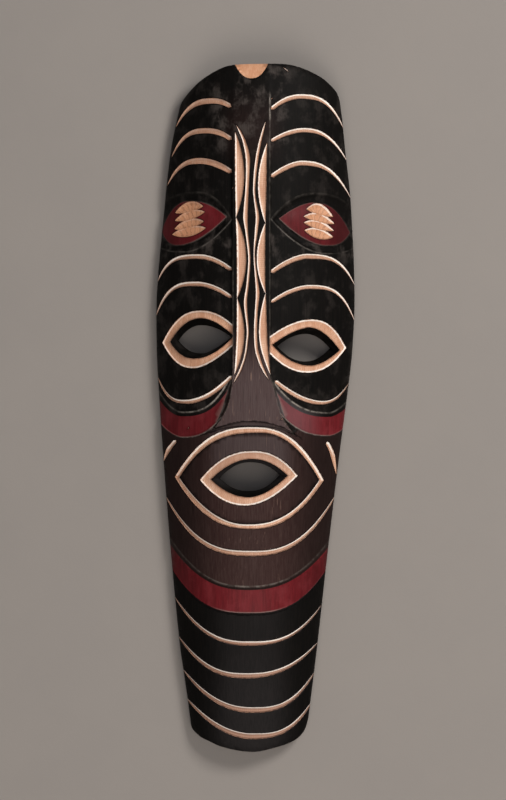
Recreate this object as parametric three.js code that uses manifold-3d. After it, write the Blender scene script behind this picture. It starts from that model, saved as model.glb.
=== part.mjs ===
// A long wooden face mask, carved from one piece of wood and hollowed at the back.
// It lies on its flat back rim: X runs across the face, Y up towards the forehead, Z out of the face.
// All sizes are in millimetres, and the origin is the middle of the outline, on the plane of the rim.

import * as THREE from 'three';
import { mergeVertices } from 'three/addons/utils/BufferGeometryUtils.js';
import Module from 'manifold-3d';

// Driving sizes of the blank
const FOREHEAD_END = 300;      // y of the top of the dome
const CHIN_END = -298.5;       // y of the lowest point of the hem
const SIDE_WALL = 14;          // upright side wall under the arched face
const EDGE_ANGLE = 52;         // degrees, slope of the arch where it meets the side wall
const END_FALL = 9;            // the face drops by this at both ends
const END_FALL_FROM = 190;     // and starts to drop this far from the middle
const END_FALL_SPAN = 110;

// The two side edges of the face, hand-cut and a little uneven: y, left x, right x
const SIDES = [
  [-330, -48.6, 37.4], [-285, -54.9, 44.3], [-246, -60.2, 49.3], [-205, -66, 54.3],
  [-120, -74.2, 63.8], [-35, -80.9, 74], [10, -83.9, 80], [50, -86, 84.6], [100, -86, 86.7],
  [180, -79, 83.4], [228, -73.4, 78.3], [265, -66, 74.6], [330, -56, 66],
];

// The hollow at the back
const RIM = 14;                // width of the flat rim beside the hollow
const HOLLOW_EDGE = 5;         // height of the hollow's upright edge
const HOLLOW_TOP = 284;
const HOLLOW_BOTTOM = -281;
const HOLLOW_ROUNDING = 70;    // length over which each end of the hollow closes

// Levels of the relief, each a depth below the nose
const FOREHEAD_DEPTH = 0.15;   // beside the nose ridge at the top of the forehead
const PANEL_DEPTH = 3.6;       // beside the bridge of the nose, around the eyes
const PANEL_FULL = 150;        // y below which the panels are at their full depth
const EYE_DEPTH = 0.6;         // the red almonds lie this far below their panel
const LID_DEPTH = 2.6;         // the dark channel round each almond
const CHEEK_DEPTH = 6;         // the red cheeks, under the ledge of the eye panels
const CHEEK_RISE = 1.7;        // and how much they rise towards the mouth
const LOWER_DEPTH = 3.4;       // the lower face where it meets the cheeks
const BAND_DEPTH = 1.8;        // the red chin band, below the ledge of the mouth
const BEARD_DEPTH = 1;         // the striped end, below the level of the mouth's edge
const MOUTH_SWELL = { x: -5, y: -62, across: 84, along: 98 };

// Gouge cuts: a cut's depth follows its width
const GOUGE = 0.4;             // depth of a cut for each millimetre of its width
const SCOOP_GOUGE = 0.25;      // the same for the wide scoops in the almonds
const CUT_REACH = 1.5;         // how far a cutter stands out of the wood, where a stroke gives no reach

// Mesh steps
const ROWS = 28;
const COLUMNS = 12;
const ARCH_STEPS = 9;
const FAR = 130;               // well outside the sides of the mask
const ABOVE = 120;             // well over its face
const BELOW = -10;             // and under its rim
const OVERLAP = 1;             // a shallow region runs on by this under its deeper neighbour

// An arch is a curve through its left end, its crest and its right end. Each side leaves the crest
// level and falls away with its own bend: 2 is a parabola, more is flatter at the crest.
const PANEL_EDGE = {
  left: [[-87.5, 17.5], [-63.8, -4.4], [-19.9, 28], [1.9, 2.8]],
  right: [[15.5, 21], [64, -5], [86, 11], [2.5, 1.7]],
};
const CHEEK_EDGE = {
  left: [[-87.5, -6.5], [-62.8, -24.3], [-30, -7.5], [1.9, 2.5]],
  right: [[22, -4], [64, -23], [84, -10], [2.5, 1.8]],
};
const MOUTH_TOP = [[-37, -16], [-6, -11.5], [33, -21.5], [2, 2.5]];
const CHIN_LEDGE = [[-77.5, -113.5], [-6, -156.8], [67, -116.5], [2.5, 2.4]];
const CHIN_LINE = [[-76.3, -134.2], [-5, -177.8], [64.3, -136.9], [2.8, 2.7]];

// The nose from the brow to its wings, as its two sides
const NOSE = {
  left: [[-19.5, 330], [-19.5, 30], [-20.5, 18], [-23.5, 4], [-29, -7.5], [-37, -18.5]],
  right: [[33, -21.5], [25, -10.5], [20.5, 0], [17.5, 12], [14.5, 22], [12.5, 32], [12.5, 330]],
};

// A lens is the outline between an upper and a lower arch that share their corners: left corner,
// right corner, upper crest, lower crest, and the bends of each arch
const lens = (left, right, above, under, aboveBends, underBends) => ({
  upper: [left, above, right, aboveBends],
  lower: [left, under, right, underBends],
});

// The red almonds high on the face, and the outer edge of the dark channel round each one
const ALMONDS = {
  left: lens([-82, 156], [-25, 166.6], [-56.7, 180.8], [-65.7, 142.7], [2.6, 2.1], [3.2, 1.7]),
  right: lens([20.5, 165], [82.5, 154], [49.6, 179.2], [59.8, 142.3], [1.6, 2.7], [1.7, 3.4]),
};
const LIDS = {
  left: lens([-100, 158], [-20.5, 164], [-52, 188.5], [-60, 136.8], [2.6, 2.4], [3, 1.75]),
  right: lens([13.5, 164.5], [100, 156], [52, 187.5], [60, 135.2], [2.2, 2.6], [1.8, 3]),
};

// Eye holes and mouth: the bare ring's outer edge, the hole's edge and its opening at the back.
// The two arms of an eye's ring end apart, against the side of the nose.
const LEFT_EYE = {
  ring: {
    upper: [[-81, 58], [-46.5, 85.5], [-14.7, 68.1], [2.6, 2]],
    lower: [[-81, 58], [-53.1, 35.6], [-14.3, 59.9], [2.5, 1.6]],
  },
  edge: lens([-74.2, 58.5], [-18.5, 63.4], [-46.4, 79], [-52.3, 43.9], [2.3, 1.7], [2.5, 1.9]),
  back: lens([-67, 60], [-21, 62.5], [-47, 73], [-45, 48.5], [2.2, 2], [2.6, 1.4]),
};
const RIGHT_EYE = {
  ring: {
    upper: [[9.5, 60.7], [47.9, 77.8], [79.2, 53.3], [1.8, 2.6]],
    lower: [[9.4, 51.6], [44.8, 31.7], [79.2, 53.3], [2.1, 2.25]],
  },
  edge: lens([14.5, 55.8], [73.5, 51.5], [46.8, 71], [48.2, 37.8], [1.6, 1.9], [2.2, 1.75]),
  back: lens([19, 54.5], [65, 53], [44, 65.5], [43, 41.5], [2, 2], [2.1, 2.1]),
};
const MOUTH = {
  ring: lens([-48, -61.3], [36.6, -57.6], [-2.2, -36.1], [-8.4, -83.3], [2.3, 2.35], [2.2, 1.85]),
  edge: lens([-38.5, -60.8], [28, -57.5], [-3.9, -42.9], [-5.4, -76.2], [1.9, 2.2], [2.1, 1.8]),
  back: lens([-31, -60], [21, -57], [-4, -46], [-5.5, -71], [2.2, 2.2], [2.3, 2.3]),
};
const RING_STEP = 0.8;         // a bare ring starts with a small step down
const RING_DEPTH = 1.8;        // and slopes down to this at the hole's edge
const HOLE_DEPTH = 18;         // the tapered wall of a hole, down to its opening at the back

// How a stroke runs out to a point: over this share of its length, and with this bend. The strokes
// low on the mask stay wider towards their ends.
const TAPER = { span: 0.52, bend: 0.8 };
const LOW_TAPER = { span: 0.45, bend: 0.6 };

// Gouged strokes that end in a point at both ends or, where blunt says so, are cut off square
const PANEL_STROKES = [
  { arch: [[-69.5, 246], [-38, 267.8], [-21, 262.2], [2.8, 2.2]], width: 4.7, blunt: 'right' },
  { arch: [[-73, 220], [-44.5, 241.8], [-20.5, 233.5], [2.8, 2.3]], width: 4.5, blunt: 'right' },
  { arch: [[-77, 195], [-48.3, 215.6], [-20.5, 205], [2.8, 1.8]], width: 5.1, blunt: 'right' },
  { arch: [[-87, 107.6], [-50.2, 132.5], [-20.5, 120.3], [3.8, 1.9]], width: 4, blunt: 'right' },
  { arch: [[-88, 78], [-51.8, 108.8], [-20.5, 96.4], [3.4, 1.9]], width: 3.8, blunt: 'right' },
  { arch: [[13.5, 259.7], [40, 271.5], [77.5, 244], [2, 3]], width: 4, blunt: 'left' },
  { arch: [[13.5, 232], [42.8, 242.1], [81, 215], [1.8, 2.5]], width: 3.8, blunt: 'left' },
  { arch: [[13.5, 201], [40.1, 213.4], [83.5, 183.8], [1.6, 2.8]], width: 4.2, blunt: 'left' },
  { arch: [[13.5, 118.2], [44.5, 132.5], [87.5, 106.8], [1.6, 3.6]], width: 4.3, blunt: 'left' },
  { arch: [[13.5, 92.4], [46.7, 106], [87.5, 75], [1.7, 3.5]], width: 3.5, blunt: 'left' },
  { arch: [[-86, 30.2], [-60.2, 6.5], [-20.5, 28.7], [3, 1.9]], width: 3.8, blunt: 'right' },
  { arch: [[17, 24.7], [57.1, 5.6], [81.5, 22.6], [1.8, 2.4]], width: 3.8, blunt: 'left' },
];
const MOUTH_STROKES = [
  { arch: [[-68.5, -58.8], [1, -17.9], [58, -61.5], [2.7, 2.4]], width: 4.9 },
  { arch: [[-68.5, -58.8], [-5.4, -101.7], [58, -61.5], [2.3, 2.3]], width: 4.3 },
  { arch: [[-79, -74.6], [-3.4, -124.9], [70, -75.2], [2.8, 2.6]], width: 4.6, taper: LOW_TAPER },
];
const CHEEK_STROKES = [
  { points: [[-69, -27], [-75.5, -35], [-80.5, -46]], width: 3.8 },
  { points: [[62, -28.3], [66.8, -38], [70.8, -57]], width: 3.8 },
];
const BEARD_STROKES = [
  { arch: [[-71, -163.2], [-5.7, -203.2], [57.5, -171.3], [2.5, 2.8]], width: 3.7, taper: LOW_TAPER },
  { arch: [[-67.5, -197.8], [-9.5, -231.4], [54.5, -203.8], [2.4, 2.5]], width: 4.5, taper: LOW_TAPER },
  { arch: [[-63.5, -227], [-2.5, -261.4], [51.5, -230], [2.2, 2.8]], width: 4.8, taper: LOW_TAPER },
  { arch: [[-60.5, -252], [-2.5, -284.5], [49.5, -255.3], [2, 2.9]], width: 5, taper: LOW_TAPER },
];
const FACE_LINES = [
  { arch: [[-50, -24], [-7, -12.6], [40, -25.5], [1.8, 2.6]], width: 6.5, reach: 5 },
];
const CHEEK_LINES = [
  { arch: CHEEK_EDGE.left, width: 3, reach: 3 },
  { arch: CHEEK_EDGE.right, width: 3, reach: 3 },
];
const CHIN_LINES = [{ arch: CHIN_LINE, width: 3 }];

// Scoops of bare wood in the almonds, each a lens from end to end: ends, and the rise of its middle
const SCOOPS = [
  { ends: [[-69.8, 171.1], [-45.3, 176.1]], rise: 2.1, width: 9.2 },
  { ends: [[-70, 164.3], [-44, 171.1]], rise: 0.9, width: 8.2 },
  { ends: [[-70.4, 157], [-44.9, 162.8]], rise: 1.2, width: 8.4 },
  { ends: [[-72.4, 152.2], [-43.1, 157.2]], rise: -0.2, width: 8.9 },
  { ends: [[44.4, 173.4], [67.5, 167.5]], rise: 3, width: 10 },
  { ends: [[42, 167], [68.8, 161.3]], rise: 2, width: 8.2 },
  { ends: [[42, 161.7], [68.2, 155.2]], rise: 1.4, width: 7.8 },
  { ends: [[42.6, 155.1], [67.5, 149.8]], rise: 0, width: 9.2 },
];

// The bridge of the nose: a wide band in three bays down each side, and a thread weaving beside it.
// A band's outer edge is y, x; a bay is its top, bottom and bulge; a thread is x, y, width.
const BANDS = [
  {
    edge: [
      [30, -18.1], [52, -16.7], [75, -16], [140, -16], [168, -16.9], [204, -17.5], [240, -17.6],
    ],
    inner: 1,
    bays: [[240, 166, 7.9], [166, 96, 8.1], [96, 30, 6.7]],
  },
  {
    edge: [
      [30, 13.2], [44, 11.7], [60, 10.4], [92, 9.3], [112, 8.5], [150, 8.6], [180, 9.3], [230, 10.2],
    ],
    inner: -1,
    bays: [[230, 161, 7.3], [161, 100, 7.2], [100, 30, 7]],
  },
];
const THREADS = [
  [
    [-16.5, 246, 1.2], [-12.5, 238.7, 1.9], [-9.6, 231.5, 2.7], [-6.7, 219, 3.8], [-6.5, 206, 3.2],
    [-7.2, 190, 2.9], [-8.5, 166, 3.9], [-7.3, 152, 2.1], [-5.2, 130, 1.8], [-6.7, 108, 2],
    [-8.5, 92, 2.7], [-6.5, 68, 1.7], [-7.3, 57, 1.6], [-9, 46, 1.5], [-13, 34, 1.7], [-18.8, 23, 1],
  ],
  [
    [8.8, 249, 1.1], [5.7, 237.6, 1.9], [3.8, 230, 2.2], [1, 214, 2.7], [-1, 192, 2],
    [-0.5, 182.5, 1.7], [1.8, 166.5, 3], [0.9, 154.6, 2.6], [-0.9, 135, 1.1], [0.5, 116, 2],
    [2, 101, 3.2], [0.8, 84, 2.5], [0.2, 66, 2.8], [1, 52, 2.7], [3.1, 44, 2.8], [6.1, 36, 2.2],
    [11.5, 25.5, 1],
  ],
];

// A rounded notch of bare wood in the forehead's top edge; the bend is 2 for a parabola
const NOTCH = { x: -3.4, width: 30, depth: 13.9, fall: 4, bend: 2.4 };

const wasm = await Module();
wasm.setup();

// Plain helpers
const clamp01 = (t) => Math.min(1, Math.max(0, t));
const ease = (t) => clamp01(t) ** 2 * (3 - 2 * clamp01(t));

// A smooth value at y from rows of [y, value, ...], column chosen by its number
function smoothColumn(rows, column, y) {
  let i = 0;
  while (i < rows.length - 2 && y > rows[i + 1][0]) i += 1;
  const slope = (k) => {
    const a = rows[Math.max(0, k - 1)];
    const b = rows[Math.min(rows.length - 1, k + 1)];
    return (b[column] - a[column]) / (b[0] - a[0]);
  };
  const span = rows[i + 1][0] - rows[i][0];
  const t = (y - rows[i][0]) / span;
  const t2 = t * t;
  const t3 = t2 * t;
  return (2 * t3 - 3 * t2 + 1) * rows[i][column] + (t3 - 2 * t2 + t) * span * slope(i)
    + (3 * t2 - 2 * t3) * rows[i + 1][column] + (t3 - t2) * span * slope(i + 1);
}

// Half the width and the middle of the mask at y
function breadth(y) {
  const left = smoothColumn(SIDES, 1, y);
  const right = smoothColumn(SIDES, 2, y);
  return { half: (right - left) / 2, middle: (right + left) / 2 };
}

// Height of a circular arch of the given half width, at u from -1 to 1 across it
function archHeight(half, u) {
  const edge = THREE.MathUtils.degToRad(EDGE_ANGLE);
  return half / Math.sin(edge) * (Math.sqrt(1 - (u * Math.sin(edge)) ** 2) - Math.cos(edge));
}

// The face at the level of the nose
function noseLevel(x, y) {
  const { half, middle } = breadth(y);
  const u = THREE.MathUtils.clamp((x - middle) / half, -1, 1);
  const fall = END_FALL * clamp01((Math.abs(y) - END_FALL_FROM) / END_FALL_SPAN) ** 2;
  return SIDE_WALL + archHeight(half, u) * (1 - fall / archHeight(half, 0));
}

// Depth of each level below the nose
const LEVELS = {
  nose: () => 0,
  panel: (x, y) => FOREHEAD_DEPTH
    + (PANEL_DEPTH - FOREHEAD_DEPTH) * ease((FOREHEAD_END - y) / (FOREHEAD_END - PANEL_FULL)),
  almond: (x, y) => LEVELS.panel(x, y) + EYE_DEPTH,
  lid: (x, y) => LEVELS.panel(x, y) + LID_DEPTH,
  cheek: (x, y) => CHEEK_DEPTH - CHEEK_RISE * clamp01(-y / 25),
  lower: (x, y) => {
    const across = (x - MOUTH_SWELL.x) / MOUTH_SWELL.across;
    const along = (y - MOUTH_SWELL.y) / MOUTH_SWELL.along;
    return LOWER_DEPTH * (1 - ease(1.25 * (1 - Math.hypot(across, along))));
  },
  band: (x, y) => LEVELS.lower(x, y) + BAND_DEPTH,
  beard: (x, y) => LEVELS.lower(x, y) + BEARD_DEPTH,
};

function surfaceAt(level, x, y) {
  return noseLevel(x, y) - LEVELS[level](x, y);
}

// A point on a level and the direction straight out of it
function surfacePoint(level, x, y) {
  const step = 0.5;
  const z = surfaceAt(level, x, y);
  const slopeX = (surfaceAt(level, x + step, y) - surfaceAt(level, x - step, y)) / (2 * step);
  const slopeY = (surfaceAt(level, x, y + step) - surfaceAt(level, x, y - step)) / (2 * step);
  return { at: new THREE.Vector3(x, y, z), out: new THREE.Vector3(-slopeX, -slopeY, 1).normalize() };
}

// Points along an arch from its left end to its right end, closer together near the ends
function archPoints([start, crest, end, bends], steps = ARCH_STEPS) {
  const points = [];
  for (let i = 0; i <= steps; i += 1) {
    const t = Math.sin((2 * i / steps - 1) * Math.PI / 2);
    const [tip, bend] = t < 0 ? [start, bends[0]] : [end, bends[1]];
    const away = Math.abs(t);
    points.push([crest[0] + (tip[0] - crest[0]) * away, crest[1] + (tip[1] - crest[1]) * away ** bend]);
  }
  return points;
}

// The points of a lens, all the way round
function lensOutline({ upper, lower }, steps = ARCH_STEPS) {
  return [...archPoints(upper, steps), ...archPoints(lower, steps).reverse().slice(1, -1)];
}

// The same for a ring whose arms may end apart, with both ends of both arches
function openOutline({ upper, lower }, steps) {
  return [...archPoints(upper, steps), ...archPoints(lower, steps).reverse()];
}

// A solid for the booleans, from triangles given by corner points and an index list
function solidFrom(corners, faces) {
  const positions = corners.flatMap((p) => [p.x, p.y, p.z]);
  const geometry = new THREE.BufferGeometry();
  geometry.setAttribute('position', new THREE.Float32BufferAttribute(positions, 3));
  geometry.setIndex(faces.flat());
  return solidOf(geometry);
}

function solidOf(geometry) {
  const bare = geometry.clone();
  bare.deleteAttribute('normal');
  bare.deleteAttribute('uv');
  const merged = mergeVertices(bare, 1e-4);
  const position = merged.attributes.position;
  const faces = [];
  let volume = 0;
  const [a, b, c] = [new THREE.Vector3(), new THREE.Vector3(), new THREE.Vector3()];
  for (let i = 0; i < merged.index.count; i += 3) {
    const face = [0, 1, 2].map((k) => merged.index.getX(i + k));
    if (new Set(face).size === 3) {
      faces.push(face);
      a.fromBufferAttribute(position, face[0]);
      b.fromBufferAttribute(position, face[1]);
      c.fromBufferAttribute(position, face[2]);
      volume += a.dot(b.cross(c));
    }
  }
  const outward = volume < 0 ? faces.map(([p, q, r]) => [p, r, q]) : faces;
  return new wasm.Manifold(new wasm.Mesh({
    numProp: 3,
    vertProperties: new Float32Array(position.array),
    triVerts: new Uint32Array(outward.flat()),
  }));
}

// A closed solid through rings of equally many points; the first and last ring are capped
function loft(rings) {
  const corners = rings.flat();
  const count = rings[0].length;
  const faces = [];
  for (let r = 0; r < rings.length - 1; r += 1) {
    for (let k = 0; k < count; k += 1) {
      const [a, b] = [r * count + k, r * count + (k + 1) % count];
      faces.push([a, b, b + count], [a, b + count, a + count]);
    }
  }
  const last = (rings.length - 1) * count;
  for (let k = 1; k < count - 1; k += 1) {
    faces.push([0, k + 1, k], [last, last + k, last + k + 1]);
  }
  return solidFrom(corners, faces);
}

// An upright prism over an outline in the plane of the rim
function prism(outline) {
  const shape = new THREE.Shape(outline.map(([x, y]) => new THREE.Vector2(x, y)));
  const geometry = new THREE.ExtrudeGeometry(shape, { depth: ABOVE - BELOW, bevelEnabled: false });
  geometry.translate(0, 0, BELOW);
  return solidOf(geometry);
}

// The wood below one level, from side edge to side edge
function woodBelow(level) {
  const rings = [];
  for (let r = 0; r <= ROWS; r += 1) {
    const y = THREE.MathUtils.lerp(CHIN_END - 15, FOREHEAD_END + 15, r / ROWS);
    const { half, middle } = breadth(y);
    const ring = [new THREE.Vector3(middle + half, y, 0), new THREE.Vector3(middle - half, y, 0)];
    for (let c = 0; c <= COLUMNS; c += 1) {
      const u = Math.sin((c / COLUMNS - 0.5) * Math.PI * 0.9) / Math.sin(0.45 * Math.PI);
      const x = middle + half * u;
      ring.push(new THREE.Vector3(x, y, surfaceAt(level, x, y)));
    }
    rings.push(ring);
  }
  return loft(rings);
}

// The plan of the whole mask: the dome of the forehead and the shallow curve of the hem
function planOutline() {
  const dome = [
    [75.4, 256], [74.4, 264], [73.4, 270], [71.3, 275.8], [68.4, 279.4], [63.5, 284.2], [57.8, 288.6],
    [47.6, 293.8], [38.9, 297.1], [29, 299.4], [18, FOREHEAD_END], [0, 299.9], [-15, 299.5],
    [-24.7, 298.1], [-31.3, 295.6], [-39.6, 291.3], [-48.2, 285.5], [-57, 277.1], [-64.4, 267.4],
    [-67.4, 257.3], [-69.6, 247.5], [-71.6, 238],
  ];
  const hem = [
    [-56.9, -272.5], [-55.9, -277], [-54.2, -280.4], [-50, -284.3], [-46.5, -286.8],
    [-42.5, -288.6], [-38.5, -290.4], [-32.5, -293.1], [-27, -294.75], [-22, -296], [-17, -297],
    [-12, -297.8], [-7.5, -298.25], [-3, CHIN_END], [1.5, -298.3], [5.5, -297.7], [9.5, -296.8],
    [14.5, -295.6], [20, -294.2], [27, -292.1], [31.5, -290.2], [35.5, -288.2], [38.8, -285.6],
    [41.8, -282.2], [44.3, -277.4], [45.8, -272], [46.7, -267], [47.2, -263],
  ];
  return [[FAR, 256], ...dome, [-FAR, 238], [-FAR, -272.5], ...hem, [FAR, -263]];
}

// The hollow at the back, narrowing and getting shallower towards both ends
function hollow() {
  const rings = [];
  const rows = 20;
  for (let r = 0; r <= rows; r += 1) {
    const y = THREE.MathUtils.lerp(HOLLOW_BOTTOM, HOLLOW_TOP, 0.5 - 0.5 * Math.cos(Math.PI * r / rows));
    const { half, middle } = breadth(y);
    const inset = clamp01(Math.min(y - HOLLOW_BOTTOM, HOLLOW_TOP - y) / HOLLOW_ROUNDING);
    const closing = Math.max(0.12, Math.sqrt(1 - (1 - inset) ** 2));
    const width = (half - RIM) * closing;
    const ring = [new THREE.Vector3(middle + width, y, -5), new THREE.Vector3(middle - width, y, -5)];
    for (let c = 0; c <= 10; c += 1) {
      const u = Math.sin((c / 10 - 0.5) * Math.PI);
      const height = (HOLLOW_EDGE + archHeight(half - RIM, u)) * closing;
      ring.push(new THREE.Vector3(middle + width * u, y, height));
    }
    rings.push(ring);
  }
  return loft(rings);
}

// A region cut down to its level
function lowered(outline, level) {
  return prism(outline).subtract(below[level]);
}

// A gouge cut along points on a level: a V whose depth follows its width
function gougeCut(points, widths, level, reach = CUT_REACH, gouge = GOUGE) {
  const rings = points.map(([x, y], i) => {
    const before = points[Math.max(0, i - 1)];
    const after = points[Math.min(points.length - 1, i + 1)];
    const { at, out } = surfacePoint(level, x, y);
    const along = new THREE.Vector3(after[0] - before[0], after[1] - before[1], 0);
    const side = new THREE.Vector3().crossVectors(out, along).normalize();
    const depth = widths[i] * gouge;
    const spread = widths[i] / 2 + reach / (2 * gouge);
    const bottom = at.clone().addScaledVector(out, -depth);
    const top = at.clone().addScaledVector(out, reach);
    return [bottom, top.clone().addScaledVector(side, spread), top.clone().addScaledVector(side, -spread)];
  });
  return loft(rings);
}

// Width along a stroke: full in the middle, running out to a point at an end that isn't blunt
function strokeWidths(route, width, blunt, taper) {
  const from = route[0][0];
  const to = route[route.length - 1][0];
  return route.map(([x]) => {
    const t = (x - from) / (to - from);
    const left = blunt === 'left' ? 1 : clamp01(t / taper.span) ** taper.bend;
    const right = blunt === 'right' ? 1 : clamp01((1 - t) / taper.span) ** taper.bend;
    return width * Math.max(0.02, Math.min(left, right));
  });
}

function strokeCut({ arch, points, width, blunt, reach, taper = TAPER }, level) {
  const route = arch ? archPoints(arch) : smoothRoute(points, 8);
  return gougeCut(route, strokeWidths(route, width, blunt, taper), level, reach);
}

function threadCut(points) {
  return gougeCut(points, points.map(([, , width]) => width), 'nose');
}

function smoothRoute(points, steps) {
  const curve = new THREE.SplineCurve(points.map(([x, y]) => new THREE.Vector2(x, y)));
  return curve.getSpacedPoints(steps).map((p) => [p.x, p.y]);
}

// One scoop: a short, wide lens
function scoopCut({ ends: [from, to], rise, width }) {
  const steps = 8;
  const points = [];
  const widths = [];
  for (let i = 0; i <= steps; i += 1) {
    const t = i / steps;
    const bow = 1 - (2 * t - 1) ** 2;
    const x = THREE.MathUtils.lerp(from[0], to[0], t);
    const y = THREE.MathUtils.lerp(from[1], to[1], t) + rise * bow;
    points.push([x, y]);
    widths.push(width * Math.max(0.03, bow ** 0.85));
  }
  return gougeCut(points, widths, 'almond', CUT_REACH, SCOOP_GOUGE);
}

// One bay of a band: straight along the nose's edge, bulging towards the middle
function bayCut(edge, inner, [top, bottom, width]) {
  const steps = 8;
  const points = [];
  const widths = [];
  for (let i = 0; i <= steps; i += 1) {
    const t = i / steps;
    const bulge = width * Math.max(0.04, Math.sin(Math.PI * t) ** 0.8);
    const y = THREE.MathUtils.lerp(top, bottom, t);
    points.push([smoothColumn(edge, 1, y) + inner * bulge / 2, y]);
    widths.push(bulge);
  }
  return gougeCut(points, widths, 'nose');
}

// A hole with its bare ring: sloping down from the ring's edge, then through the wall with a taper
function holeCut({ ring, edge, back }, level) {
  const steps = 10;
  const place = (outline, depth) => openOutline(outline, steps)
    .map(([x, y]) => new THREE.Vector3(x, y, surfaceAt(level, x, y) - depth));
  const outer = place(ring, RING_STEP);
  const inner = place(edge, RING_DEPTH);
  const behind = place(back, HOLE_DEPTH);
  const flat = (points, z) => points.map((p) => new THREE.Vector3(p.x, p.y, z));
  return loft([flat(outer, ABOVE), outer, inner, behind, flat(behind, BELOW)]);
}

// The bare notch in the top edge
function notchCut() {
  const outline = [];
  const steps = 12;
  for (let i = 0; i <= steps; i += 1) {
    const u = 2 * i / steps - 1;
    const deep = NOTCH.depth * (1 - Math.abs(u) ** NOTCH.bend);
    outline.push([NOTCH.x + NOTCH.width / 2 * u, FOREHEAD_END + 1 - deep]);
  }
  const start = FOREHEAD_END - NOTCH.depth;
  const z = noseLevel(NOTCH.x, start);
  const floor = outline.map(([x, y]) => new THREE.Vector3(x, y, z - NOTCH.fall * (y - start) / NOTCH.depth));
  const lid = outline.map(([x, y]) => new THREE.Vector3(x, y, z + 8));
  return loft([floor, lid]);
}

// Regions of the face, each an outline that runs well past the side of the mask
function regions() {
  const cheek = { left: archPoints(CHEEK_EDGE.left), right: archPoints(CHEEK_EDGE.right) };
  const ledge = { left: archPoints(PANEL_EDGE.left), right: archPoints(PANEL_EDGE.right) };
  const line = archPoints(CHIN_LINE);
  const noseDown = NOSE.left.slice(0, -1);
  const noseUp = NOSE.right.slice(2);
  const wing = ([, y]) => y < 20.9;
  const brow = ([, y]) => y > 20.9;
  const moved = (points, distance) => points.map(([x, y]) => [x, y + distance]);
  return {
    panels: [
      [...noseDown.filter(brow), ...moved(ledge.left, -OVERLAP).toReversed(), [-FAR, 45], [-FAR, 330]],
      [...moved(ledge.right, -OVERLAP), [FAR, 40], [FAR, 330], ...noseUp.filter(brow).toReversed()],
    ],
    cheeks: [
      [...ledge.left, ...noseDown.filter(wing), ...cheek.left.toReversed(), [-FAR, 15], [-FAR, 46]],
      [
        ...cheek.right, [FAR, 8], [FAR, 41], ...ledge.right.toReversed(),
        ...noseUp.filter(wing).toReversed(),
      ],
    ],
    lower: [
      [-FAR, 15 + OVERLAP], ...moved(cheek.left, OVERLAP).filter(([x]) => x < -40), ...archPoints(MOUTH_TOP),
      ...moved(cheek.right, OVERLAP).filter(([x]) => x > 37), [FAR, 8 + OVERLAP], [FAR, -330], [-FAR, -330],
    ],
    band: [[-FAR, -70], ...archPoints(CHIN_LEDGE), [FAR, -70], [FAR, -95], ...line.toReversed(), [-FAR, -95]],
    beard: [[-FAR, -95 + OVERLAP], ...moved(line, OVERLAP), [FAR, -95 + OVERLAP], [FAR, -330], [-FAR, -330]],
  };
}

// The dark channel round an almond, with the almond left standing in it
function eyeCut(side) {
  const almond = prism(lensOutline(ALMONDS[side])).intersect(below.almond);
  return prism(lensOutline(LIDS[side])).subtract(almond.add(below.lid));
}

const below = {};
for (const level of Object.keys(LEVELS)) {
  below[level] = woodBelow(level);
}

function carveMask() {
  const bridge = prism([...NOSE.left, ...NOSE.right]);
  const { panels, cheeks, lower, band, beard } = regions();
  const lowerStrokes = [...MOUTH_STROKES, ...CHEEK_STROKES, ...FACE_LINES, ...CHEEK_LINES];
  const cutters = [
    ...panels.map((outline) => lowered(outline, 'panel')),
    ...cheeks.map((outline) => lowered(outline, 'cheek')),
    lowered(lower, 'lower'),
    lowered(band, 'band'),
    lowered(beard, 'beard'),
    ...['left', 'right'].map(eyeCut),
    ...PANEL_STROKES.map((stroke) => strokeCut(stroke, 'panel')),
    ...lowerStrokes.map((stroke) => strokeCut(stroke, 'lower')),
    ...[...BEARD_STROKES, ...CHIN_LINES].map((stroke) => strokeCut(stroke, 'beard')),
    ...SCOOPS.map(scoopCut),
    ...BANDS.flatMap(({ edge, inner, bays }) => bays.map((bay) => bayCut(edge, inner, bay))),
    ...THREADS.map(threadCut),
    holeCut(LEFT_EYE, 'panel').subtract(bridge),
    holeCut(RIGHT_EYE, 'panel').subtract(bridge),
    holeCut(MOUTH, 'lower'),
    notchCut(),
    hollow(),
  ];
  let wood = below.nose.intersect(prism(planOutline()));
  for (const cutter of cutters) {
    wood = wood.subtract(cutter);
  }
  return wood;
}

function geometryOf(solid) {
  const { vertProperties, triVerts } = solid.getMesh();
  const geometry = new THREE.BufferGeometry();
  geometry.setAttribute('position', new THREE.Float32BufferAttribute(vertProperties, 3));
  geometry.setIndex(new THREE.Uint32BufferAttribute(triVerts, 1));
  geometry.computeVertexNormals();
  return geometry;
}

const stainedWood = new THREE.MeshStandardMaterial({ color: 0x2a2220, roughness: 0.5, metalness: 0 });
const mask = new THREE.Mesh(geometryOf(carveMask()), stainedWood);
mask.name = 'mask';

const part = new THREE.Group();
part.add(mask);

export default part;
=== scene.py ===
"""A long carved wooden face mask: gouge cuts through black stain, red paint and a raw hollow back."""

import math

import bmesh
import bpy
import numpy as np
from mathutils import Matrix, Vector
from mathutils.geometry import delaunay_2d_cdt
from mathutils.kdtree import KDTree


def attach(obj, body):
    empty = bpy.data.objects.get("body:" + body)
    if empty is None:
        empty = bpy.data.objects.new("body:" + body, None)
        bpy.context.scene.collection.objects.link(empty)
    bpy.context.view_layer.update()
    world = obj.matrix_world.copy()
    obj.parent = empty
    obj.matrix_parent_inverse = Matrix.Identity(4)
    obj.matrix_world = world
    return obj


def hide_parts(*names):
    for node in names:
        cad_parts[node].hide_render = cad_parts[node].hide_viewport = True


bl_info = {
    "name": "Carved face mask",
    "version": (1, 0, 0),
    "blender": (4, 5, 0),
    "location": "3D View > Sidebar > Mask",
    "description": "Carves a long wooden face mask, stains and paints it, and lays it down to be looked at",
    "category": "Object",
}

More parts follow.
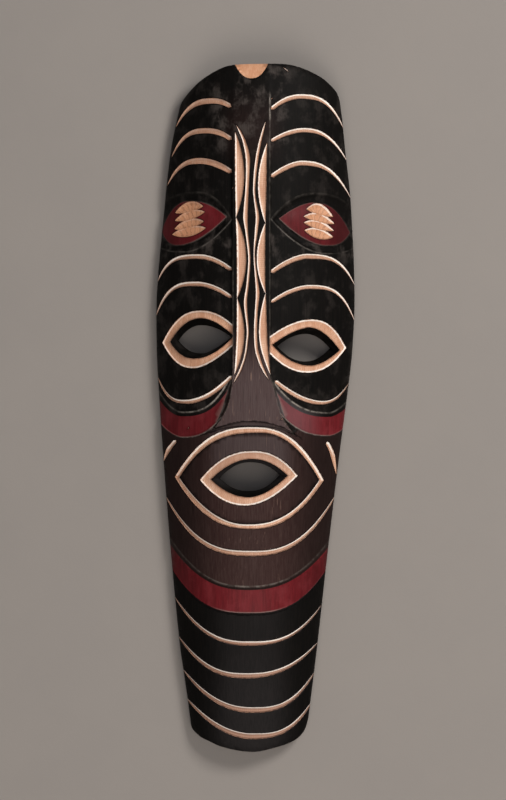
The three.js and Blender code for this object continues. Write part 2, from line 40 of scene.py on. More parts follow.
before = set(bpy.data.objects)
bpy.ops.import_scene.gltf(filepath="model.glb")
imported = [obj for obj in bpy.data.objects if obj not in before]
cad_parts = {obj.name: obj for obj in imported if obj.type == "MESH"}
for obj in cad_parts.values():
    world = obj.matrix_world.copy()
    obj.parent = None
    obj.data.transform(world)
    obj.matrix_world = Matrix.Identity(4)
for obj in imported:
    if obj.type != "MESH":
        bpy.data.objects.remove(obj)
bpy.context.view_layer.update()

# Lengths in this layout are millimetres, as the carver would measure the blank.
# X runs across the face, Y up towards the forehead, Z out of the face from the plane of the rim.
MM = 0.001
FOREHEAD_END = 300
FAR = 130

# The two side edges of the face: y, left x, right x
SIDES = [
    (-330, -48.6, 37.4), (-285, -54.9, 44.3), (-246, -60.2, 49.3), (-205, -66, 54.3),
    (-120, -74.2, 63.8), (-35, -80.9, 74), (10, -83.9, 80), (50, -86, 84.6), (100, -86, 86.7),
    (180, -79, 83.4), (228, -73.4, 78.3), (265, -66, 74.6), (330, -56, 66),
]

# The plan's two ends, from right to left round the forehead and from left to right round the chin
DOME = [
    (75.4, 256), (74.4, 264), (73.4, 270), (71.3, 275.8), (68.4, 279.4), (63.5, 284.2), (57.8, 288.6),
    (47.6, 293.8), (38.9, 297.1), (29, 299.4), (18, 300), (0, 299.9), (-15, 299.5),
    (-24.7, 298.1), (-31.3, 295.6), (-39.6, 291.3), (-48.2, 285.5), (-57, 277.1), (-64.4, 267.4),
    (-67.4, 257.3), (-69.6, 247.5), (-71.6, 238),
]
HEM = [
    (-56.9, -272.5), (-55.9, -277), (-54.2, -280.4), (-50, -284.3), (-46.5, -286.8),
    (-42.5, -288.6), (-38.5, -290.4), (-32.5, -293.1), (-27, -294.75), (-22, -296), (-17, -297),
    (-12, -297.8), (-7.5, -298.25), (-3, -298.5), (1.5, -298.3), (5.5, -297.7), (9.5, -296.8),
    (14.5, -295.6), (20, -294.2), (27, -292.1), (31.5, -290.2), (35.5, -288.2), (38.8, -285.6),
    (41.8, -282.2), (44.3, -277.4), (45.8, -272), (46.7, -267), (47.2, -263),
]

# The arched face meets the side at this slope, and drops by the fall towards both ends
EDGE_ANGLE = math.radians(52)
END_FALL = 9
END_FALL_FROM = 190
END_FALL_SPAN = 110

# The hollow at the back: where it ends, the length over which it closes there, its depth at the
# sides, the width of its steep wall, and the shallow flutes that the gouge left in it
HOLLOW_TOP = 284
HOLLOW_BOTTOM = -281
HOLLOW_ROUNDING = 70
HOLLOW_EDGE = 5
HOLLOW_WALL = 0.9
FLUTE_DEPTH = 0.45
FLUTE_WIDTH = 4.2

# Levels of the relief: each a depth below the nose, or for lids and almonds below the panels, and for
# band and beard below the lower face. The panels are at full depth from PANEL_FULL down, the cheeks
# rise by CHEEK_RISE towards the mouth, and the lower face swells to the nose's level round the mouth:
# the swell's middle, its half width and its half height.
FOREHEAD_DEPTH = 0.15
PANEL_DEPTH = 3.6
PANEL_FULL = 150
EYE_DEPTH = 0.6
LID_DEPTH = 2.6
CHEEK_DEPTH = 6
CHEEK_RISE = 1.7
LOWER_DEPTH = 3.4
BAND_DEPTH = 1.8
BEARD_DEPTH = 1
MOUTH_SWELL = (-5, -62, 84, 98)

# Widths of the steps between the levels, the gouged hollow of each hole's bare ring and how far the
# ring drops towards the hole
NOSE_WALL = 1.3
CHEEK_STEP = 0.9
LEDGE = 3.6
CHIN_BEVEL = 3.2
UPPER_LID = 4
LOWER_LID = 1.8
ALMOND_RIM = 1.2
RING_GOUGE = 1.5
RING_DROP = 1

# The mesh follows each crisp edge at this distance, and the stain is darkened this far beside a cut
EDGE_LINE = 0.9
HALO = 1.1

# Arches: left end, crest, right end, and how sharply each side bends
PANEL_EDGE = {
    "left": ((-87.5, 17.5), (-63.8, -4.4), (-19.9, 28), (1.9, 2.8)),
    "right": ((15.5, 21), (64, -5), (86, 11), (2.5, 1.7)),
}
CHEEK_EDGE = {
    "left": ((-87.5, -6.5), (-62.8, -24.3), (-30, -7.5), (1.9, 2.5)),
    "right": ((22, -4), (64, -23), (84, -10), (2.5, 1.8)),
}
MOUTH_TOP = ((-37, -16), (-6, -11.5), (33, -21.5), (2, 2.5))
CHIN_LEDGE = ((-77.5, -113.5), (-6, -156.8), (67, -116.5), (2.5, 2.4))
CHIN_LINE = ((-76.3, -134.2), (-5, -177.8), (64.3, -136.9), (2.8, 2.7))

# The nose's two sides, and where the facet beside each wing ends and the red cheek begins
NOSE = {
    "left": [
        (-19.5, 330), (-19.5, 60), (-19.5, 30), (-20.5, 18), (-23.5, 4), (-29, -7.5), (-37, -18.5),
    ],
    "right": [
        (12.5, 330), (12.5, 60), (12.5, 32), (14.5, 22), (17.5, 12), (20.5, 0), (25, -10.5), (33, -21.5),
    ],
}
FACET = {
    "left": [(-20.4, 26.5), (-23.6, 17), (-27.2, 5.5), (-30, -2.5), (-34.5, -13)],
    "right": [(15.2, 22.5), (19.2, 12.5), (22.4, 3), (26, -8.5)],
}


def lens(left, right, above, under, above_bends, under_bends):
    """The two arches of an eye shape that share their corners."""
    return (left, above, right, above_bends), (left, under, right, under_bends)


# The red almonds high on the face, and the lids whose dark channel runs round them
ALMONDS = {
    "left": lens((-82, 156), (-25, 166.6), (-56.7, 180.8), (-65.7, 142.7), (2.6, 2.1), (3.2, 1.7)),
    "right": lens((20.5, 165), (82.5, 154), (49.6, 179.2), (59.8, 142.3), (1.6, 2.7), (1.7, 3.4)),
}
LIDS = {
    "left": lens((-100, 158), (-20.5, 164), (-52, 188.5), (-60, 136.8), (2.6, 2.4), (3, 1.75)),
    "right": lens((13.5, 164.5), (100, 156), (52, 187.5), (60, 135.2), (2.2, 2.6), (1.8, 3)),
}

# Eye holes and mouth: the bare ring's outer edge, the hole's edge and its opening at the back.
# A ring's two arms end apart, against the side of the nose.
HOLES = {
    "left_eye": (
        (
            ((-81, 58), (-46.5, 85.5), (-14.7, 68.1), (2.6, 2)),
            ((-81, 58), (-53.1, 35.6), (-14.3, 59.9), (2.5, 1.6)),
        ),
        lens((-74.2, 58.5), (-18.5, 63.4), (-46.4, 79), (-52.3, 43.9), (2.3, 1.7), (2.5, 1.9)),
        lens((-67, 60), (-21, 62.5), (-47, 73), (-45, 48.5), (2.2, 2), (2.6, 1.4)),
    ),
    "right_eye": (
        (
            ((9.5, 60.7), (47.9, 77.8), (79.2, 53.3), (1.8, 2.6)),
            ((9.4, 51.6), (44.8, 31.7), (79.2, 53.3), (2.1, 2.25)),
        ),
        lens((14.5, 55.8), (73.5, 51.5), (46.8, 71), (48.2, 37.8), (1.6, 1.9), (2.2, 1.75)),
        lens((19, 54.5), (65, 53), (44, 65.5), (43, 41.5), (2, 2), (2.1, 2.1)),
    ),
    "mouth": (
        lens((-48, -61.3), (36.6, -57.6), (-2.2, -36.1), (-8.4, -83.3), (2.3, 2.35), (2.2, 1.85)),
        lens((-38.5, -60.8), (28, -57.5), (-3.9, -42.9), (-5.4, -76.2), (1.9, 2.2), (2.1, 1.8)),
        lens((-31, -60), (21, -57), (-4, -46), (-5.5, -71), (2.2, 2.2), (2.3, 2.3)),
    ),
}

# The wide groove round the mouth, between two lens shapes
MOUTH_GROOVE = (
    (
        ((-70, -59), (-2.2, -15.5), (59.5, -61.8), (2.65, 2.55)),
        ((-70, -59), (-3.2, -103.7), (59.5, -61.8), (2.5, 2.3)),
    ),
    (
        ((-66.3, -59.5), (4.6, -20.4), (55.8, -61.5), (2.9, 2.15)),
        ((-66.3, -59.5), (-7.3, -99.7), (55.8, -61.5), (2.1, 2.5)),
    ),
)

# How a stripe runs out to a point: over this share of its length and with this bend. The stripes
# low on the mask stay wider towards their ends.
TAPER = (0.52, 0.8)
LOW_TAPER = (0.45, 0.6)

# Gouged stripes: arch, width, and the end that is cut off short against the nose
PANEL_STRIPES = [
    (((-69.5, 246), (-38, 267.8), (-21, 262.2), (2.8, 2.2)), 4.7, "right"),
    (((-73, 220), (-44.5, 241.8), (-20.5, 233.5), (2.8, 2.3)), 4.5, "right"),
    (((-77, 195), (-48.3, 215.6), (-20.5, 205), (2.8, 1.8)), 5.1, "right"),
    (((-87, 107.6), (-50.2, 132.5), (-20.5, 120.3), (3.8, 1.9)), 4.0, "right"),
    (((-88, 78), (-51.8, 108.8), (-20.5, 96.4), (3.4, 1.9)), 3.8, "right"),
    (((13.5, 259.7), (40, 271.5), (77.5, 244), (2, 3)), 4.0, "left"),
    (((13.5, 232), (42.8, 242.1), (81, 215), (1.8, 2.5)), 3.8, "left"),
    (((13.5, 201), (40.1, 213.4), (83.5, 183.8), (1.6, 2.8)), 4.2, "left"),
    (((13.5, 118.2), (44.5, 132.5), (87.5, 106.8), (1.6, 3.6)), 4.3, "left"),
    (((13.5, 92.4), (46.7, 106), (87.5, 75), (1.7, 3.5)), 3.5, "left"),
    (((-86, 30.2), (-60.2, 6.5), (-20.5, 28.7), (3, 1.9)), 3.8, "right"),
    (((17, 24.7), (57.1, 5.6), (81.5, 22.6), (1.8, 2.4)), 3.8, "left"),
]
LOWER_STRIPES = [
    (((-79, -74.6), (-3.4, -124.9), (70, -75.2), (2.8, 2.6)), 4.6, ""),
    (((-71, -163.2), (-5.7, -203.2), (57.5, -171.3), (2.5, 2.8)), 3.7, ""),
    (((-67.5, -197.8), (-9.5, -231.4), (54.5, -203.8), (2.4, 2.5)), 4.5, ""),
    (((-63.5, -227), (-2.5, -261.4), (51.5, -230), (2.2, 2.8)), 4.8, ""),
    (((-60.5, -252), (-2.5, -284.5), (49.5, -255.3), (2, 2.9)), 5.0, ""),
]
CHEEK_STRIPES = [
    ([(-69, -27), (-75.5, -35), (-80.5, -46)], 3.8, "left"),
    ([(62, -28.3), (66.8, -38), (70.8, -57)], 3.8, "left"),
]
STAINED_CUTS = [
    (((-50, -24), (-7, -12.6), (40, -25.5), (1.8, 2.6)), 5.5, ""),
    (CHIN_LINE, 2.4, ""),
]

# Scoops of bare wood that overlap down each almond: the two ends, the rise of the middle, the width
SCOOPS = [
    ((-69.8, 171.1), (-45.3, 176.1), 2.1, 9.2),
    ((-70, 164.3), (-44, 171.1), 0.9, 8.2),
    ((-70.4, 157), (-44.9, 162.8), 1.2, 8.4),
    ((-72.4, 152.2), (-43.1, 157.2), -0.2, 8.9),
    ((44.4, 173.4), (67.5, 167.5), 3, 10),
    ((42, 167), (68.8, 161.3), 2, 8.2),
    ((42, 161.7), (68.2, 155.2), 1.4, 7.8),
    ((42.6, 155.1), (67.5, 149.8), 0, 9.2),
]

# The bridge: a wide band in three bays down each side, and a thread weaving beside it. A band is the
# side that it bulges to, its bays as top, bottom and bulge, and its outer edge as y and x. A thread is
# x, y and width.
BANDS = [
    (
        1, [(240, 166, 7.9), (166, 96, 8.1), (96, 30, 6.7)],
        [
            (30, -18.1), (52, -16.7), (75, -16), (140, -16), (168, -16.9), (204, -17.5), (240, -17.6),
        ],
    ),
    (
        -1, [(230, 161, 7.3), (161, 100, 7.2), (100, 30, 7)],
        [
            (30, 13.2), (44, 11.7), (60, 10.4), (92, 9.3), (112, 8.5), (150, 8.6), (180, 9.3),
            (230, 10.2),
        ],
    ),
]
THREADS = [
    [
        (-16.5, 246, 1.2), (-12.5, 238.7, 1.9), (-9.6, 231.5, 2.7), (-6.7, 219, 3.8), (-6.5, 206, 3.2),
        (-7.2, 190, 2.9), (-8.5, 166, 3.9), (-7.3, 152, 2.1), (-5.2, 130, 1.8), (-6.7, 108, 2),
        (-8.5, 92, 2.7), (-6.5, 68, 1.7), (-7.3, 57, 1.6), (-9, 46, 1.5), (-13, 34, 1.7),
        (-18.8, 23, 1),
    ],
    [
        (8.8, 249, 1.1), (5.7, 237.6, 1.9), (3.8, 230, 2.2), (1, 214, 2.7), (-1, 192, 2),
        (-0.5, 182.5, 1.7), (1.8, 166.5, 3), (0.9, 154.6, 2.6), (-0.9, 135, 1.1), (0.5, 116, 2),
        (2, 101, 3.2), (0.8, 84, 2.5), (0.2, 66, 2.8), (1, 52, 2.7), (3.1, 44, 2.8), (6.1, 36, 2.2),
        (11.5, 25.5, 1),
    ],
]

# Small chips in the stain, each a nick from one end to the other
CHIPS = [
    ((-20.4, 190.6), (-18.9, 191.9)), ((-58.6, -16.9), (-57.5, -15.6)), ((22.4, -9.2), (23.8, -8)),
    ((13.4, 268.6), (14.8, 269.6)), ((24.4, 296.6), (28.8, 293.2)),
]

# The notch of bare wood in the forehead's top edge, whose floor falls away towards the edge
NOTCH = {"x": -3.4, "width": 30, "depth": 13.9, "fall": 2, "bend": 2.4}

# How full a round-bottomed cut is: 0.5 is a half circle
ROUND = 0.62

# The rim's edges are eased by this bevel, and edges steeper than this angle stay crisp
RIM_BEVEL = 0.5
CREASE_ANGLE = math.radians(50)

# The mask's finishes, in the order of its material slots
STAINED, BARE, RED, RAW = range(4)

# The lamps' names, places, sizes, watts and colours, in metres like everything round the mask
LAMPS = [
    ("window", (0.1, -1.1, 1.9), 1.8, 26, "#fff5ea"),
    ("side", (1.2, 1.15, 1.8), 0.8, 46, "#fffaf4"),
    ("overhead", (0, 0.05, 5), 1.0, 23, "#f6f7ff"),
]

# The camera looks straight down from here, through a lens of so many millimetres
EYE = (-0.00205, 0.008, 4)
LENS = 205.5

# The table lies this far under the rim, so that the two flat faces never meet
TABLE_DROP = 0.0004


class MaskSizes(bpy.types.PropertyGroup):
    """Sizes of the carving that a carver would change."""

    side_wall: bpy.props.FloatProperty(
        name="Side wall", description="Height of the upright side under the arched face",
        default=14 * MM, unit="LENGTH",
    )
    rim: bpy.props.FloatProperty(
        name="Rim", description="Width of the flat rim beside the hollow back",
        default=14 * MM, unit="LENGTH",
    )
    gouge: bpy.props.FloatProperty(
        name="Gouge depth", description="Depth of a cut for each unit of its width",
        default=0.36, min=0.1, max=0.6,
    )
    edge_rounding: bpy.props.FloatProperty(
        name="Edge rounding", description="Radius where the face turns down to the side",
        default=1.3 * MM, unit="LENGTH",
    )
    step: bpy.props.FloatProperty(
        name="Carving step", description="Distance between points along a cut",
        default=1.6 * MM, unit="LENGTH",
    )
    field: bpy.props.FloatProperty(
        name="Field step", description="Distance between points on the open face",
        default=3.4 * MM, unit="LENGTH",
    )


class MaskColours(bpy.types.PropertyGroup):
    """Colours of the finish, as sRGB hex values."""

    stain: bpy.props.StringProperty(
        name="Black stain", description="Stain of the panels", default="#0a0908",
    )
    brown: bpy.props.StringProperty(
        name="Brown stain", description="Stain of nose and mouth", default="#3f2b29",
    )
    worn: bpy.props.StringProperty(
        name="Worn edge", description="Rubbed edges of the stain", default="#9a938b",
    )
    red: bpy.props.StringProperty(
        name="Red paint", description="Almonds, cheeks and band", default="#65191f",
    )
    bare: bpy.props.StringProperty(
        name="Bare wood", description="Fresh gouge cuts", default="#c2977d",
    )
    # The pale lip colour is a painted highlight along the lit edge of each cut
    pale: bpy.props.StringProperty(
        name="Pale lip", description="Lips of the gouge cuts", default="#fffaf3",
    )
    raw: bpy.props.StringProperty(
        name="Raw back", description="Unfinished hollow back", default="#8a6448",
    )
    floor: bpy.props.StringProperty(
        name="Floor", description="The pale table", default="#85807c",
    )


# Plain helpers

def clamp(t):
    return np.clip(t, 0.0, 1.0)


def ease(t):
    t = clamp(t)
    return t * t * (3 - 2 * t)


def blend(a, b, t):
    return a + (b - a) * t


def run_along(line):
    """How far along a line each of its points is."""
    return np.concatenate([[0.0], np.cumsum(np.hypot(*np.diff(line, axis=0).T))])


def resample(points, step, count=None):
    """Points at equal steps along a line."""
    points = np.asarray(points, float)
    run = run_along(points)
    count = count or max(2, int(round(run[-1] / step)) + 1)
    at = np.linspace(0, run[-1], count)
    return np.column_stack([np.interp(at, run, points[:, 0]), np.interp(at, run, points[:, 1])])


def arch(curve, step=1.0, count=None):
    """A line through the left end, the crest and the right end of an arch."""
    start, crest, end, bends = curve
    t = np.sin(np.linspace(-1, 1, 161) * math.pi / 2)
    left = t < 0
    away = np.abs(t)
    x = crest[0] + np.where(left, start[0] - crest[0], end[0] - crest[0]) * away
    rise = (start[1] - crest[1]) * away ** bends[0]
    fall = (end[1] - crest[1]) * away ** bends[1]
    y = crest[1] + np.where(left, rise, fall)
    return resample(np.column_stack([x, y]), step, count)


def smooth(points, step):
    """A smooth line through a few points."""
    points = np.asarray(points, float)
    run = run_along(points)
    at = np.linspace(0, run[-1], 20 * len(points))
    line = np.column_stack([hermite(run, points[:, 0], at), hermite(run, points[:, 1], at)])
    return resample(line, step)


def hermite(knots, values, at):
    """A smooth curve through values at knots."""
    k = np.arange(len(knots))
    before = np.maximum(k - 1, 0)
    after = np.minimum(k + 1, len(knots) - 1)
    slopes = (values[after] - values[before]) / (knots[after] - knots[before])
    i = np.clip(np.searchsorted(knots, at, side="left") - 1, 0, len(knots) - 2)
    span = knots[i + 1] - knots[i]
    t = (at - knots[i]) / span
    t2 = t * t
    t3 = t2 * t
    return (
        (2 * t3 - 3 * t2 + 1) * values[i] + (t3 - 2 * t2 + t) * span * slopes[i]
        + (3 * t2 - 2 * t3) * values[i + 1] + (t3 - t2) * span * slopes[i + 1]
    )


def beside(line, distance):
    """A line moved to its left by a distance, which may differ from point to point."""
    along = np.gradient(line, axis=0)
    along /= np.maximum(np.hypot(along[:, 0], along[:, 1]), 1e-9)[:, None]
    left = np.column_stack([-along[:, 1], along[:, 0]])
    return line + left * np.broadcast_to(distance, len(line))[:, None]


def inset(loop, distance):
    """A closed loop, anticlockwise, moved inwards."""
    wrapped = np.vstack([loop[-1:], loop, loop[:1]])
    return beside(wrapped, distance)[1:-1]


def reach(points, line):
    """Distance from each point to a line, how far along the line that is, and which way it lies."""
    start = line[:-1]
    way = np.diff(line, axis=0)
    square = np.maximum((way ** 2).sum(1), 1e-12)
    run = np.concatenate([[0.0], np.cumsum(np.sqrt(square))])
    distance = np.full(len(points), 1e6)
    along = np.zeros(len(points))
    toward = np.zeros((len(points), 2))
    for k in range(len(start)):
        t = clamp(((points - start[k]) @ way[k]) / square[k])
        off = points - start[k] - t[:, None] * way[k]
        gap = np.hypot(*off.T)
        nearer = gap < distance
        distance[nearer] = gap[nearer]
        along[nearer] = run[k] + t[nearer] * math.sqrt(square[k])
        toward[nearer] = -off[nearer] / np.maximum(gap[nearer], 1e-9)[:, None]
    return distance, along, toward


def within(points, loop):
    """Whether each point is inside a closed loop."""
    x, y = points.T
    result = np.zeros(len(points), bool)
    for (x0, y0), (x1, y1) in zip(loop, np.roll(loop, -1, axis=0)):
        if y0 == y1:
            continue
        crosses = (y0 > y) != (y1 > y)
        result ^= crosses & (x < (x1 - x0) * (y - y0) / (y1 - y0) + x0)
    return result


def close_to(points, line, margin):
    """Which points lie in the box round a line."""
    low = line.min(0) - margin
    high = line.max(0) + margin
    return np.all((points > low) & (points < high), axis=1)


# The shape of the blank

def side_edges(y):
    rows = np.array(SIDES, float)
    return hermite(rows[:, 0], rows[:, 1], y), hermite(rows[:, 0], rows[:, 2], y)


def breadth(y):
    left, right = side_edges(y)
    return (right - left) / 2, (right + left) / 2


def arch_height(half, u):
    bend = np.sin(EDGE_ANGLE)
    return half / bend * (np.sqrt(1 - (u * bend) ** 2) - np.cos(EDGE_ANGLE))


def nose_level(x, y, side_wall):
    half, middle = breadth(y)
    u = np.clip((x - middle) / half, -1, 1)
    fall = END_FALL * clamp((np.abs(y) - END_FALL_FROM) / END_FALL_SPAN) ** 2
    return side_wall + arch_height(half, u) * (1 - fall / arch_height(half, 0))


def hollow_shape(y, rim):
    """Half width and middle of the hollow, and how far it has closed, at y."""
    half, middle = breadth(y)
    near_end = clamp(np.minimum(y - HOLLOW_BOTTOM, HOLLOW_TOP - y) / HOLLOW_ROUNDING)
    closing = np.sqrt(np.maximum(0, 1 - (1 - near_end) ** 2))
    return (half - rim) * closing, middle, closing


def hollow_level(x, y, rim):
    """Height of the hollow, with the shallow flutes that the gouge leaves along it."""
    width, middle, closing = hollow_shape(y, rim)
    half = breadth(y)[0] - rim
    u = np.clip((x - middle) / np.maximum(width, 1), -1, 1)
    waves = np.abs(np.sin((x - middle) / FLUTE_WIDTH + 0.35 * np.sin(y / 21)))
    flute = FLUTE_DEPTH * waves * (1 - u * u)
    return (HOLLOW_EDGE + arch_height(half, u) - flute) * closing


def panel_depth(y):
    down = ease((FOREHEAD_END - y) / (FOREHEAD_END - PANEL_FULL))
    return FOREHEAD_DEPTH + (PANEL_DEPTH - FOREHEAD_DEPTH) * down


def lower_depth(x, y):
    cx, cy, across, along = MOUTH_SWELL
    away = np.hypot((x - cx) / across, (y - cy) / along)
    return LOWER_DEPTH * (1 - ease(1.25 * (1 - away)))


def outline(step):
    """The plan of the whole mask, anticlockwise from the right shoulder."""
    down = np.linspace(DOME[-1][1] - 2.5, HEM[0][1] + 2.5, 200)
    up = np.linspace(HEM[-1][1] + 2.5, DOME[0][1] - 2.5, 200)
    loop = np.vstack([
        smooth(DOME, 1), np.column_stack([np.full(200, -FAR), down]),
        smooth(HEM, 1), np.column_stack([np.full(200, FAR), up]),
    ])
    left, right = side_edges(loop[:, 1])
    loop[:, 0] = np.clip(loop[:, 0], left, right)
    return resample(np.vstack([loop, loop[:1]]), step)[:-1]


# The carving: every cut is a ribbon between two lines

class Ribbon:
    """A round-bottomed cut between the lines a and b, bare or stained over, with painted highlight on one
    lip and painted shade on the other.
    """

    ROWS = (0, 0.09, 0.22, 0.4, 0.6, 0.78, 0.91, 1)

    # lip points in plan to the edge that is painted as a highlight; the far edge is painted as shade
    def __init__(self, a, b, bare=True, depth=None, closed=False, lip=(0, 1), tone=0, lip_width=2):
        self.a = a
        self.b = b
        self.bare = bare
        self.depth = depth
        self.closed = closed
        self.lip = np.array(lip, float)
        self.tone = tone
        self.lip_width = lip_width
        self.loop = a if closed else np.vstack([a, b[::-1]])

    def row(self, v):
        return blend(self.a, self.b, v)

    def contains(self, points):
        held = within(points, self.loop)
        return held & ~within(points, self.b) if self.closed else held

    def lines(self):
        """The cut's own rows, then one beside each edge, each with whether it is a crisp edge."""
        found = [(self.row(v), v in (0, 1)) for v in self.ROWS]
        found.append((beside(self.a, HALO), False))
        if not self.closed:
            found.append((beside(self.b, -HALO), False))
        return found


def loops(lenses, step):
    """Closed clockwise loops round several lens shapes, with points that match one another."""
    counts = [len(arch(curve, step)) for curve in lenses[0]]
    found = []
    for upper, lower in lenses:
        meet = upper[2] == lower[2]
        back = arch(lower, count=counts[1] - (0 if meet else 1))[::-1]
        found.append(np.vstack([arch(upper, count=counts[0]), back[1:] if meet else back]))
    return found


def stripe(line, width, short, bare=True, tone=0, taper=TAPER, **look):
    """A gouge stroke along a line, running out to a point at each end that isn't cut short. An end cut
    short is rounded over its last 1.8 mm, and a little narrower over its last 14."""
    run = run_along(line)
    t = run / run[-1]
    ends = []
    for name, way, length in (("left", t, run), ("right", 1 - t, run[-1] - run)):
        if short == name:
            rounded = np.sqrt(clamp(1 - (1 - clamp(length / 1.8)) ** 2))
            ends.append(rounded * (0.8 + 0.2 * clamp(length / 14)))
        else:
            ends.append(clamp(way / taper[0]) ** taper[1])
    half = width / 2 * np.maximum(0.01, np.minimum(*ends))
    return Ribbon(beside(line, half), beside(line, -half), bare=bare, tone=tone, **look)


def thread(points, step):
    """A thin line that swells and narrows on its way down the bridge."""
    points = np.array(points, float)
    line = smooth(points[:, :2], step)
    run = run_along(line)
    width = np.interp(-line[:, 1], -points[:, 1], points[:, 2])
    half = width / 2 * np.maximum(0.02, clamp(np.minimum(run, run[-1] - run) / 6) ** 0.8)
    # Painted highlight along the thread's left edge, painted shade along its right
    return Ribbon(beside(line, half), beside(line, -half), lip=(-0.5, -0.05), tone=-0.2, lip_width=1.4)


def scoop(start, end, rise, width, step, lip, tone):
    """A short wide lens."""
    start, end = np.array(start, float), np.array(end, float)
    t = np.linspace(0, 1, int(np.hypot(*(end - start)) / (0.7 * step)) + 2)
    bow = 1 - (2 * t - 1) ** 2
    line = start + (end - start) * t[:, None]
    line[:, 1] += rise * bow
    half = width / 2 * np.maximum(0.01, bow ** 0.85)
    up = np.column_stack([np.zeros(len(t)), half])
    return Ribbon(line + up, line - up, depth=0.22, lip=lip, tone=tone)


def bay(border, inward, top, bottom, width, step):
    """One bay of a band: nearly straight along the nose's edge, bulging towards the middle."""
    t = np.linspace(0, 1, int((top - bottom) / step) + 1)
    y = top + (bottom - top) * t
    bulge = width * np.maximum(0.01, np.sin(math.pi * t) ** 0.8)
    border = np.array(border, float)
    outer = hermite(border[:, 0], border[:, 1], y)
    edge = np.column_stack([outer, y])
    bulging = np.column_stack([outer + inward * bulge, y])
    lines = (bulging, edge) if inward > 0 else (edge, bulging)
    # Painted highlight along the bay's left edge, painted shade along its right
    return Ribbon(*lines, depth=0.26, lip=(-0.55, 0.02), lip_width=1.8)


def cuts(step):
    """Every cut of the face."""
    made = []
    for curve, width, short in PANEL_STRIPES + LOWER_STRIPES:
        low = ease((-60 - curve[0][1]) / 90)
        taper = LOW_TAPER if curve[0][1] < -70 else TAPER
        made.append(stripe(
            arch(curve, step), width, short, tone=-0.45 - 0.55 * low, taper=taper,
            lip_width=1.9 if low or curve[0][0] < 0 else 1.5,
        ))
    for points, width, short in CHEEK_STRIPES:
        made.append(stripe(smooth(points, step), width, short))
    for curve, width, short in STAINED_CUTS:
        made.append(stripe(arch(curve, step), width, short, bare=False))
    for start, end, rise, width in SCOOPS:
        # Scoops on the right get the stronger painted highlight, as more light falls on that side
        tone, pale = (0.75, 0.5) if start[0] > 0 else (0.8, 0.36)
        made.append(scoop(start, end, rise, width, step, lip=(0.12, pale), tone=tone))
    for inward, bays, border in BANDS:
        for top, bottom, width in bays:
            made.append(bay(border, inward, top, bottom, width, step))
    for points in THREADS:
        made.append(thread(points, step))
    for start, end in CHIPS:
        made.append(scoop(start, end, 0, 0.6, step, lip=(0.3, 0.3), tone=-0.6))
    made.append(Ribbon(*loops(MOUTH_GROOVE, step), closed=True))
    return made


def lip_highlight_strength(points):
    """The lips' painted highlight is strongest from the nose to the right, where more light falls, and
    weaker at the left of the forehead.
    """
    x, y = points.T
    dull = ease((y - 150) / 60) * ease((-18 - x) / 10)
    return (0.6 + 0.4 * ease((x + 75) / 80)) * (1 - 0.75 * dull)


